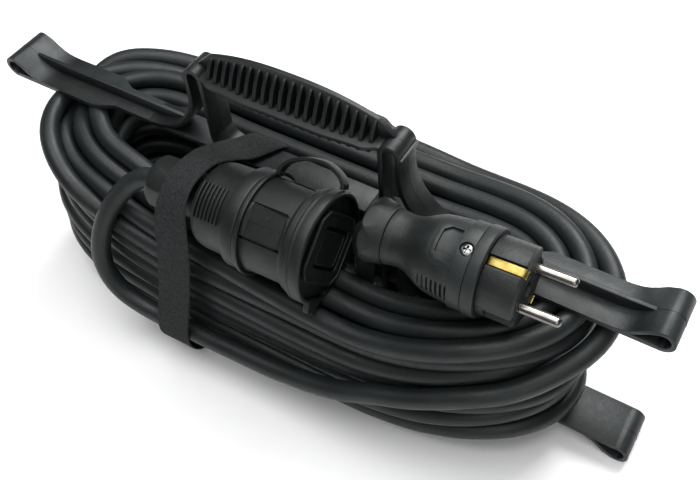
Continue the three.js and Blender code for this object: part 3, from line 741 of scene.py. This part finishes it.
def add_cord(plug_pieces):
    route = np.array(FROM_COUPLING + coil_turns() + INTO_PLUG, float)
    line, _ = evenly(curve_through(route, 3), CORD_STEP)
    line = eased_apart(line)
    line, length = evenly(curve_through(line, 4), CORD_FINE_STEP)
    line[:, 2] = np.maximum(line[:, 2], CORD_DIAMETER / 2 + FLOOR_GAP)
    curve = bpy.data.curves.new("extension_cable", "CURVE")
    curve.dimensions = "3D"
    curve.bevel_depth = CORD_DIAMETER / 2 * MM
    curve.bevel_resolution = 5
    curve.use_fill_caps = True
    spline = curve.splines.new("POLY")
    spline.points.add(len(line) - 1)
    flat = np.hstack([line * MM, np.ones((len(line), 1))])
    spline.points.foreach_set("co", flat.ravel())
    spline.use_smooth = True
    curve.materials.append(CABLE)
    obj = placed("extension_cable", curve)
    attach(obj, "winder")
    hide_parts("cable_coil", "socket_lead", "plug_lead")


# -------------------------------------------------------------------- strap

STRAP_WIDTH = 20
STRAP_THICKNESS = 1.3
STRAP_STEP = 2.5
WEAVE_PER_MM = 0.01
STRAP_EDGES = [
    # left edge and right edge of the band, from the back of the rail round the coil and back
    ((-38, 9.4, 106), (-18.2, 9.4, 106)), ((-37, 9.4, 111.6), (-17.4, 8.8, 111.6)),
    ((-42.5, 0.5, 113), (-25, -6.5, 114.2)), ((-45, -12, 119.5), (-27.2, -19, 122.5)),
    ((-46.3, -26.5, 126.8), (-28, -33, 131)), ((-48.2, -41.5, 126.6), (-29.4, -48, 129.8)),
    ((-47.6, -54, 120.6), (-28.4, -57.8, 122)), ((-46.4, -62.5, 109.5), (-27.6, -61.6, 109.5)),
    ((-47.2, -66.2, 91), (-28.2, -64.6, 92)), ((-50, -70.6, 64), (-31.2, -69.8, 63)),
    ((-53.2, -75.6, 42), (-33.6, -74.8, 40)), ((-55.2, -76.6, 27), (-35.4, -76, 26)),
    ((-57, -71, 10.5), (-37.2, -70.6, 10.5)), ((-58.5, -61, 1.3), (-38.5, -61, 1.3)),
    ((-60, -44, 1), (-40, -44, 1)), ((-60, -30, 1.3), (-40, -30, 1.3)),
    ((-58, -23.4, 10), (-38, -23.4, 10)), ((-51, -21.5, 60), (-31, -21.5, 60)),
    ((-47, -14, 88), (-27, -14, 88)), ((-44, -10.6, 103), (-24, -10.6, 103)),
    ((-41, -6.4, 106), (-21, -6.4, 106)),
]


def add_strap():
    """A closed band with rounded edges, carried round the line of its two edges."""
    route = [left + right for left, right in STRAP_EDGES]
    line = curve_through(route[-2:] + route + route[:2], 12)[24:-36]
    middle = (line[:, :3] + line[:, 3:]) / 2
    gaps = np.linalg.norm(np.diff(np.vstack([middle, middle[:1]]), axis=0), axis=1)
    along = np.concatenate([[0], np.cumsum(gaps)])
    length = along[-1]
    n = int(round(length / STRAP_STEP))
    closed = np.vstack([line, line[:1]])
    places = np.linspace(0, length, n, endpoint=False)
    line = np.stack([np.interp(places, along, closed[:, k]) for k in range(6)], axis=1)
    half = STRAP_WIDTH / 2
    across = [(-half, 0), (-half + 0.35, 0.8), (-half + 0.9, 1)]
    across += [(-half + 0.9 + (STRAP_WIDTH - 1.8) * k / 6, 1) for k in range(1, 6)]
    across += [(half - 0.9, 1), (half - 0.35, 0.8), (half, 0)]
    section = across + [(u, -v) for u, v in across[-2:0:-1]]
    m = len(section)
    points = []
    for i in range(n):
        left, right = line[i, :3], line[i, 3:]
        sideways = (right - left) / np.linalg.norm(right - left)
        centre = (left + right) / 2
        ahead = line[(i + 1) % n].reshape(2, 3).mean(0) - line[i - 1].reshape(2, 3).mean(0)
        normal = np.cross(ahead, sideways)
        normal /= np.linalg.norm(normal)
        for u, v in section:
            ripple = 0.16 * math.sin(i * 0.31 + u * 0.21) + 0.08 * math.sin(i * 0.83 - u * 0.4)
            points.append(centre + sideways * u + normal * (v * STRAP_THICKNESS / 2 + ripple))
    faces = []
    for i in range(n):
        for k in range(m):
            k2 = (k + 1) % m
            faces.append([i * m + k, i * m + k2, (i + 1) % n * m + k2, (i + 1) % n * m + k])
    mesh = bpy.data.meshes.new("strap")
    mesh.from_pydata([tuple(p) for p in points], [], faces)
    uv = mesh.uv_layers.new(name="UVMap")
    for polygon in mesh.polygons:
        row = polygon.index // m
        for loop_index in polygon.loop_indices:
            i, k = divmod(mesh.loops[loop_index].vertex_index, m)
            i = n if row == n - 1 and i == 0 else i
            uv.data[loop_index].uv = (section[k][0] * WEAVE_PER_MM, i * STRAP_STEP * WEAVE_PER_MM)
    obj = piece("strap_band", mesh, FABRIC, "winder", replaces=["hook_loop_strap"], sharp=STRAP_SHARP_ANGLE)


# ------------------------------------------------------------------- winder


def mirrored_z(z):
    return 2 * MID_Z - z


def flange_half_width(x):
    return 12.4 - 1.4 * smooth_step(20, 40, abs(x)) - 3.4 * smooth_step(42, GRIP_HALF_LENGTH, abs(x))


def spine_height(x):
    return SPINE_TOP - SPINE_DROP * abs(x / SPINE_HALF_LENGTH) ** 2.4


def rail_outline():
    quarter = [(FIN_START - 30, RAIL_HALF_WIDTH), (KINK_INNER - 1.4, RAIL_HALF_WIDTH),
               (KINK_INNER + 0.5, RAIL_HALF_WIDTH + 0.35), (KINK_OUTER - 1, HORN_HALF_WIDTH - 0.35),
               (KINK_OUTER + 1, HORN_HALF_WIDTH), (LOOP[0] - 2, HORN_HALF_WIDTH)]
    return quarter + [(x, -y) for x, y in quarter[::-1]]


def arm(upper):
    """One rail's right half: the flat, its tip loop with a parting line, and the fin."""
    centre = (RAIL_LOW + RAIL_HIGH) / 2
    ramp = [(6, 7.9), (9.6, 5), (13, 2.7), (16.6, 1.2), (20.5, 0.5), (25, 0.2), (30, 0.06)]
    loop = [(LOOP[0] - 6, centre)] + arc(*LOOP, -97.5, 112.5, 40)
    loop += [(LOOP[0] - back, centre + rise) for back, rise in ramp]
    fin = [(FIN_START, RAIL_LOW + 1.2), (LOOP[0] - 9, RAIL_LOW + 1.2), (LOOP[0] - 5.2, LOOP[1] + 3.4),
           (LOOP[0] - 20, RAIL_HIGH + FIN_RISE + 0.8), (FIN_START, RAIL_HIGH + FIN_RISE)]
    mesh = together(
        softened(joined(prism_xy(rail_outline(), RAIL_LOW, RAIL_HIGH),
                        prism_xz(ribbon(loop, LOOP_WALL), -HORN_HALF_WIDTH, HORN_HALF_WIDTH)), 0.4),
        prism_xz(ribbon(loop[1:-1], LOOP_WALL + SEAM_PROUD), -SEAM_HALF, SEAM_HALF),
        softened(prism_xz(fin, -FIN_HALF, FIN_HALF), 0.35),
    )
    if not upper:
        mesh.transform(Matrix.Translation((0, 0, 2 * MID_Z)) @ Matrix.Scale(-1, 4, (0, 0, 1)))
    return mesh


def brace():
    """The curved band from the rail over the ear and down the post, with its parting line."""
    centre = (RAIL_LOW + RAIL_HIGH) / 2
    half = RAIL_HALF_WIDTH + 0.04
    line = [(FILLET[0] + 1.5, centre)] + arc(*FILLET, -90, -180, 40) + arc(*EAR, 0, 180, 28)
    foot_x = EAR[0] - EAR[2] - POST_FOOT_RADIUS
    line += arc(foot_x, centre + POST_FOOT_RADIUS, POST_FOOT_RADIUS, 0, -90, 20)
    return together(
        softened(prism_xz(ribbon(line, WALL + 0.08), -half, half), 0.4),
        prism_xz(ribbon(line[2:], WALL + SEAM_PROUD), -SEAM_HALF, SEAM_HALF),
        softened(block(COLUMN_OUTER - 1, COLUMN_OUTER + 1.2, -RAIL_HALF_WIDTH, RAIL_HALF_WIDTH,
                       EAR[1] - 2, EAR[1] + 0.4), 0.4),
    )


def column():
    """The ladder-like column that joins the rails, open in bays."""
    h = RAIL_HALF_WIDTH
    high = RAIL_LOW + COLUMN_OVERLAP
    low = mirrored_z(high)
    parts = [
        block(COLUMN_INNER, COLUMN_INNER + WALL, -h, h, low, high),
        block(COLUMN_OUTER - WALL, COLUMN_OUTER, -h, h, low, high),
        block(COLUMN_INNER + 1, COLUMN_OUTER - 1, -FIN_HALF, FIN_HALF, low, high),
    ]
    for i in range(1, COLUMN_BAYS):
        z = low + (high - low) * i / COLUMN_BAYS
        parts.append(block(COLUMN_INNER + 1, COLUMN_OUTER - 1, 1 - h, h - 1, z - 1, z + 1))
    return softened(together(*parts), 0.3)


def grip():
    """The flange, the lengthwise spine, the cross ribs, and a row of teeth under the flange."""
    stations = [-GRIP_HALF_LENGTH + 2 * GRIP_HALF_LENGTH * i / GRIP_STEPS for i in range(GRIP_STEPS + 1)]
    outline = [(x, -flange_half_width(x)) for x in stations]
    outline += [(x, flange_half_width(x)) for x in stations[::-1]]
    parts = [softened(prism_xy(outline, GRIP_FLOOR, GRIP_FLANGE), 0.5)]
    ear_top = EAR[1] + EAR[2]
    spine = [(-GRIP_HALF_LENGTH, GRIP_FLANGE - 1), (GRIP_HALF_LENGTH, GRIP_FLANGE - 1), (EAR[0], ear_top)]
    spine.append((EAR[0], ear_top + WALL / 2 + 0.3))
    for i in range(GRIP_STEPS, -1, -1):
        x = -SPINE_HALF_LENGTH + 2 * SPINE_HALF_LENGTH * i / GRIP_STEPS
        spine.append((x, spine_height(x)))
    spine += [(-x, z) for x, z in spine[3:1:-1]]
    parts.append(softened(prism_xz(spine, -1.3, 1.3), 0.35))
    for i in range(RIB_COUNT):
        x = (i - (RIB_COUNT - 1) / 2) * RIB_PITCH
        w = flange_half_width(x) - 3
        h = spine_height(x) - GRIP_FLANGE - 1.8 + 1.4 * abs(x / SPINE_HALF_LENGTH) ** 2.4
        rib = [(-w, GRIP_FLANGE - 1), (w, GRIP_FLANGE - 1)]
        for k in range(RIB_STEPS + 1):
            y = math.cos(math.pi * k / RIB_STEPS)
            rib.append((w * y, GRIP_FLANGE + h * (1 - abs(y) ** 2)))
        parts.append(softened(prism_yz(rib, x - RIB_HALF, x + RIB_HALF), 0.42, 3))
        tooth = block(x - RIB_HALF, x + RIB_HALF, -w - GRIP_TOOTH, w + GRIP_TOOTH,
                      GRIP_FLOOR - 1.2, GRIP_FLOOR + 1)
        parts.append(softened(tooth, 0.3))
    return together(*parts)


def add_winder():
    side = together(arm(True), arm(False), brace(), column())
    other = side.copy()
    other.transform(Matrix.Scale(-1, 4, (1, 0, 0)))
    inset = 0.05
    half = RAIL_HALF_WIDTH - inset
    reach = FIN_START - 20
    low, high = RAIL_LOW + inset, RAIL_HIGH - inset
    middle = block(-reach, reach, -half, half, low, high)
    under = block(-reach, reach, -half, half, mirrored_z(high), mirrored_z(low))
    base = mirrored_z(RAIL_HIGH)
    fin = block(-LOWER_FIN_HALF_LENGTH, LOWER_FIN_HALF_LENGTH, -FIN_HALF, FIN_HALF, base - FIN_RISE, base + 1)
    flats = softened(together(middle, under, fin), 0.45)
    mesh = facing_out(together(side, other, flats, grip()))
    piece("winder_body", mesh, WINDER, "winder", replaces=["winder_frame"])


# --------------------------------------------------------------------- plug


def cross_recess(x, z, radius):
    reach = radius * 0.7
    slot = radius * 0.19
    return [block(x - reach, x + reach, -slot, slot, z - 1.5, z + 1),
            block(x - slot, x + slot, -reach, reach, z - 1.5, z + 1)]


def plug_housing():
    body = turned([
        (-69.8, 7.5), (-69.8, 9.8), (-65, 9.8), (-65, 13.4), (-62, 13), (-60, 12.8), (-58, 12.7), (-56, 12.9),
        (-54, 13.4), (-52, 14.2), (-50, 15.2), (-48, 16.25), (-46, 17.2), (-44, 17.9), (-42, 18.4),
        (-39, 18.85), (-36, 19.2), (-32, 19.5), (-30, 19.6), (-29.5, 20.35), (-22.9, 20.35), (-22.8, 19.6),
        (-22.4, 19.6), (-22.3, 20.95), (-17.5, 20.95), (-16.9, 20.3), (-16.9, 15.2), (-40.4, 15.2),
        (-46, 9.6), (-60, 7.5),
    ], FINE_SIDES)
    hole = [rod_z(SCREW_X, 0, 13, 22, 1.9), rod_z(SCREW_X, 0, 18.4, 22, 3.35)]
    outline = [(-29, -10), (-36.8, -10), (-40.4, -6.4), (-40.4, 6.4), (-36.8, 10), (-29, 10)]
    frame_inside = [(-30.6, -8), (-36.1, -8), (-38.8, -5.3), (-38.8, 5.3), (-36.1, 8), (-30.6, 8)]
    raised = common(prism_xy(outline, 10, 24), ring(-42, -28, 16, 20.05, FINE_SIDES))
    recess = cut(prism_xy(frame_inside, 10, 24), rod(-50, -28, 18.7, FINE_SIDES))
    slots = []
    for i in range(7):
        x = -43.6 + i * 2.3
        for angle in (68, 248):
            slots.append(spun(block(x - 0.6, x + 0.6, -4.5, 4.5, 17.3, 22), angle))
    return softened(cut(joined(body, raised), *hole, recess, *slots), 0.25)


def plug_carrier():
    body = turned([
        (-40, 0), (-40, 14.8), (-16.6, 14.8), (-16.6, PLUG_FACE_RADIUS), (-0.9, PLUG_FACE_RADIUS),
        (-0.3, PLUG_FACE_RADIUS - 0.3), (0, PLUG_FACE_RADIUS - 0.9), (0, 0),
    ], FINE_SIDES)
    away = [block(-41, -29.7, -16, 16, 5.3, 16), block(-1.4, 1, -2.6, 2.6, -5, 5)]
    for side in (-1, 1):
        away.append(moved(rod(-26, 1, PIN_RADIUS + 0.3), 0, side * PIN_SPACING / 2, 0))
        groove = [(side * 15.2, -3.6), (side * 20, -5), (side * 20, 5), (side * 15.2, 3.6)]
        away.append(prism_yz(groove, -13, 1))
        low, high = (15.6, 20) if side > 0 else (-20, -15.6)
        away.append(block(-16.8, 1, -2.7, 2.7, low, high))
    face = softened(cut(body, *away), 0.25)
    return together(face, ring(-0.2, 0.25, 14.2, 14.6), ring(-0.2, 0.25, 5.8, 6.2))


def plug_pin(side):
    nose = 2.2
    profile = [(-25.4, 0), (-25.4, PIN_RADIUS), (0.2, PIN_RADIUS), (0.3, PIN_RADIUS - 0.12),
               (0.8, PIN_RADIUS - 0.12), (0.9, PIN_RADIUS), (PIN_LENGTH - nose, PIN_RADIUS)]
    for k in range(1, 8):
        a = k / 8 * math.pi / 2
        profile.append((PIN_LENGTH - nose + nose * math.sin(a), PIN_RADIUS * math.cos(a) ** 0.8))
    profile.append((PIN_LENGTH, 0))
    return moved(turned(profile, 48), 0, side * PIN_SPACING / 2, 0)


def earth_strip(side):
    line = [(-16.3, 16.65), (-9, 16.75), (-1.2, 16.65), (0.2, 16.1), (0.75, 15.2), (0.78, 14.4)]
    mesh = softened(prism_xz(ribbon(line, 1.15), -2, 2), 0.22)
    return mesh if side > 0 else spun(mesh, 180)


def octagon(x0, x1, across):
    r = across / 2 / math.cos(math.pi / 8)
    angles = [(i + 0.5) * math.pi / 4 for i in range(8)]
    return prism_yz([(r * math.cos(a), r * math.sin(a)) for a in angles], x0, x1)


def plug_nut():
    outer = common(octagon(-77.4, -65.4, 29.6), turned([
        (-77.4, 0), (-77.4, 13.2), (-76.9, 14.3), (-75.9, 15.2), (-74.6, 15.7), (-73, 15.6), (-71, 15.1),
        (-69, 14.5), (-67, 14), (-65.9, 13.8), (-65.4, 13.5), (-65.4, 0)]))
    bore = turned([(-78, 0), (-78, 12.7), (-77.2, 12.1), (-75.8, 10.2), (-74, 8.6), (-71.6, 6.3),
                   (-70.2, 6.3), (-70.2, 10.2), (-65, 10.2), (-65, 0)])
    return softened(cut(outer, bore), 0.4, 3, 25)


def housing_screw():
    head = turned([(10, 0), (10, 1.5), (18.5, 1.5), (18.5, 2.8), (19.2, 2.8), (19.6, 2.3), (19.8, 1.2),
                   (19.8, 0)], 48)
    return softened(cut(stood_up(head, SCREW_X, 0), *cross_recess(SCREW_X, 19.7, 2.8)), 0.1)


def add_plug():
    made = [
        ("plug_housing_body", plug_housing(), HOUSING, "winder", "plug_housing"),
        ("plug_face_carrier", plug_carrier(), CARRIER, "winder", "plug_contact_carrier"),
        ("plug_pin_upper", plug_pin(1), NICKEL, "winder", "plug_pin_line"),
        ("plug_pin_lower", plug_pin(-1), NICKEL, "winder", "plug_pin_neutral"),
        ("plug_earth_contact_upper", earth_strip(1), BRASS, "winder", "plug_earth_strip_upper"),
        ("plug_earth_contact_lower", earth_strip(-1), BRASS, "winder", "plug_earth_strip_lower"),
        ("plug_side_screw", housing_screw(), ZINC, "winder", "plug_housing_screw"),
        ("plug_bell_nut", plug_nut(), HOUSING, "plug_nut", "plug_gland_nut"),
    ]
    pieces = [piece(name, mesh, look, body, PLUG_AT, [node]) for name, mesh, look, body, node in made]
    inner = ["plug_terminal_screw_line", "plug_terminal_screw_neutral", "plug_cord_clamp",
             "plug_clamp_screw_a", "plug_clamp_screw_b", "plug_cord_grommet"]
    return pieces + [bpy.data.objects[name] for name in inner]


# ----------------------------------------------------------------- coupling


def coupling_shell():
    body = turned([
        (-38.7, 21.2), (-38.7, 24.1), (-38, SHELL_RADIUS), (-14, SHELL_RADIUS), (-13.2, 24.9), (-12.5, 25.8),
        (-12, 26.3), (-9.1, 26.3), (-9.1, 24.8), (-5.6, 24.8), (-5.6, 19.8), (-21.7, 19.8), (-21.7, 16.9),
        (-25.9, 16.9), (-25.9, 21.2),
    ], FINE_SIDES)
    flat = [(-33.9, SHELL_FLAT), (-16, SHELL_FLAT), (-13.4, SHELL_FLAT + 2.6), (-13.4, 30), (-36.5, 30),
            (-36.5, SHELL_FLAT + 2.6)]
    flats = [spun(prism_xz(flat, -12, 12), 1.5 + 90 * i) for i in range(4)]
    seam = [
        block(-38, -12.6, -0.15, 0.15, SHELL_FLAT - 1, SHELL_FLAT + 0.12),
        block(-38, -36.4, -0.15, 0.15, SHELL_FLAT, SHELL_RADIUS + 0.12),
        block(-38, -12.6, -0.15, 0.15, -SHELL_FLAT - 0.12, 1 - SHELL_FLAT),
        moved(rod_z(-25, 3.4, SHELL_FLAT - 1, SHELL_FLAT + 0.2, 0.9, 24)),
    ]
    return together(softened(cut(body, *flats), 0.3), *seam)


def coupling_rear():
    body = turned([
        (-86, 7.8), (-86, 12.2), (-72, 12.2), (-70.6, 13.6), (-69.5, 16), (-68.6, 18.2), (-67.5, 19.6),
        (-66.4, 20.8), (-65, 21.6), (-63, 22.1), (-60, 22.4), (-46.7, 22.8), (-46.4, 23.2), (-46, 25.6),
        (-39.6, 25.6), (-39.1, 25), (-39.1, 17.1), (-60.6, 17.1), (-66, 7.8),
    ], FINE_SIDES)
    wedges = [spun(prism_yz([(0, 0), (-12.7, 30), (12.7, 30)], -67, -49), angle) for angle in (0, 180)]
    ribs = []
    for i in range(REAR_RIBS):
        x = REAR_RIB_FROM + i * REAR_RIB_PITCH
        ribs.append(ring(x - 0.5, x + 0.5, 21, 23.6, FINE_SIDES))
    raised = common(together(*ribs), together(*wedges))
    return together(softened(body, 0.4), softened(raised, 0.35))


def coupling_nut():
    outer = common(octagon(-102.6, -80, 27), turned([
        (-102.6, 0), (-102.6, 12), (-101.8, 13.2), (-100, 14.2), (-90, 15), (-82, 15), (-80.6, 14.3),
        (-80, 13), (-80, 0)]))
    bore = turned([(-103, 0), (-103, 7.4), (-102, 6.8), (-101, 6.2), (-96, 6.2), (-96, 12.6), (-79, 12.6),
                   (-79, 0)])
    return softened(cut(outer, bore), 0.4, 3, 25)


def rounded(outline, radius, steps=5):
    """The outline with each corner replaced by a short curve."""
    out = []
    n = len(outline)
    for i in range(n):
        here = Vector(outline[i])
        before = Vector(outline[i - 1]) - here
        after = Vector(outline[(i + 1) % n]) - here
        p = here + before.normalized() * radius
        q = here + after.normalized() * radius
        for k in range(steps + 1):
            u = k / steps
            out.append(tuple(p * (1 - u) ** 2 + here * 2 * u * (1 - u) + q * u * u))
    return out


def cap():
    body = turned([
        (-0.7, 0), (-3, 0), (-3, 25.3), (-8.4, 25.3), (-8.4, CAP_RADIUS - 0.4), (-7.8, CAP_RADIUS),
        (-6.6, CAP_RADIUS), (-6.4, CAP_RADIUS - 0.3), (-6, CAP_RADIUS - 0.3), (-5.8, CAP_RADIUS),
        (-2, CAP_RADIUS), (-1.2, CAP_RADIUS - 0.3), (-0.7, CAP_RADIUS - 0.9), (-0.55, CAP_RADIUS - 1.6),
        (-0.7, CAP_RADIUS - 2.2),
    ], FINE_SIDES)
    plate = [(-17.4, -14.5), (-12, -20), (12, -20), (17.4, -14.5),
             (17.4, 14.5), (12, 20), (-12, 20), (-17.4, 14.5)]
    smaller = [(0.94 * u, 0.94 * v) for u, v in plate]
    window = rounded([(-10.4, -14.6), (10.4, -14.6), (10.4, 12.2), (-10.4, 12.2)], 3.2)
    frame_line = rounded([(-8.6, -12.8), (8.6, -12.8), (8.6, 10.4), (-8.6, 10.4)], 2.4)
    face = cut(body, prism_yz(window, -1.6, 1))
    rim = cut(prism_yz(rounded(plate, 1.5), -1.5, 0), prism_yz(rounded(smaller, 1.3), -0.6, 1),
              prism_yz(window, -1.7, 1.2))
    inner_frame = cut(prism_yz(frame_line, -1.8, -1.15),
                      prism_yz([(0.92 * u, 0.94 * v) for u, v in frame_line], -1.4, 0))
    tab_outline = rounded([(-6.4, 25.5), (-4.4, 32.4), (4.4, 32.4), (6.4, 25.5)], 1.6)
    tab = spun(prism_yz(tab_outline, -3.4, -0.4), TAB_SPIN)
    return together(softened(face, 0.3), softened(rim, 0.2), softened(inner_frame, 0.15),
                    softened(tab, 0.5, 3))


def swept(line, section):
    """A section of (across, out) points carried along a line that lies in an upright plane along X."""
    n = len(line)
    m = len(section)
    points = []
    for i in range(n):
        forward = line[min(i + 1, n - 1)] - line[max(i - 1, 0)]
        forward /= np.linalg.norm(forward)
        across = np.cross(forward, [-forward[2], 0, forward[0]])
        across /= np.linalg.norm(across)
        out = np.cross(across, forward)
        for u, v in section:
            points.append(line[i] + across * u + out * v)
    faces = [list(range(m))[::-1], list(range((n - 1) * m, n * m))]
    for i in range(n - 1):
        for k in range(m):
            k2 = (k + 1) % m
            faces.append([i * m + k, i * m + k2, (i + 1) * m + k2, (i + 1) * m + k])
    return shape(points, faces)


def tether():
    path = [(-37, 0, 25.8), (-35, 0, 30.4), (-30.4, 0, 34.2), (-22.6, 0, 37),
            (-13.6, 0, 37.6), (-6.4, 0, 35), (-3, 0, 31.6), (-2.4, 0, 28.9)]
    section = rounded([(-3, -0.95), (3, -0.95), (3, 0.95), (-3, 0.95)], 0.4, 3)
    band = swept(curve_through(path, 10), section)
    hoop = softened(ring(-38.3, -35.7, 25, 26.7, FINE_SIDES), 0.35)
    return together(hoop, spun(band, TETHER_SPIN))


def add_coupling():
    made = [
        ("coupling_front_body", coupling_shell(), "winder", "coupling_shell"),
        ("coupling_rear_body", coupling_rear(), "winder", "coupling_rear_housing"),
        ("coupling_strain_relief_nut", coupling_nut(), "coupling_nut", "coupling_gland_nut"),
        ("coupling_front_cap", cap(), "cap", "coupling_cap"),
        ("coupling_tether_band", tether(), "winder", "coupling_cap_tether"),
    ]
    for name, mesh, body, node in made:
        sharp = SHELL_SHARP_ANGLE if node == "coupling_shell" else SHARP_ANGLE
        piece(name, mesh, HOUSING, body, COUPLING_AT, [node], sharp)


# ------------------------------------------------------------------- studio


def add_studio():
    mesh = bpy.data.meshes.new("floor")
    half = FLOOR_HALF_SIZE
    corners = [(-half, -half, 0), (half, -half, 0), (half, half, 0), (-half, half, 0)]
    mesh.from_pydata(corners, [], [(0, 1, 2, 3)])
    mesh.materials.append(floor_paint())
    floor = placed("floor", mesh)
    world = bpy.data.worlds.new("studio")
    world.use_nodes = True
    world.node_tree.nodes["Background"].inputs["Color"].default_value = (1, 1, 1, 1)
    world.node_tree.nodes["Background"].inputs["Strength"].default_value = WORLD_STRENGTH
    bpy.context.scene.world = world
    for name, spot, size, power in LAMPS:
        data = bpy.data.lights.new(name, "AREA")
        data.shape = "DISK"
        data.size = size
        data.energy = power
        lamp = placed(name, data)
        lamp.location = spot
        lamp.rotation_euler = (Vector(LAMP_TARGET) - lamp.location).to_track_quat("-Z", "Y").to_euler()
    bpy.context.scene.view_settings.view_transform = "Standard"


add_camera()
add_cord(add_plug())
add_coupling()
add_winder()
add_strap()
dress_cad_nodes()
add_studio()
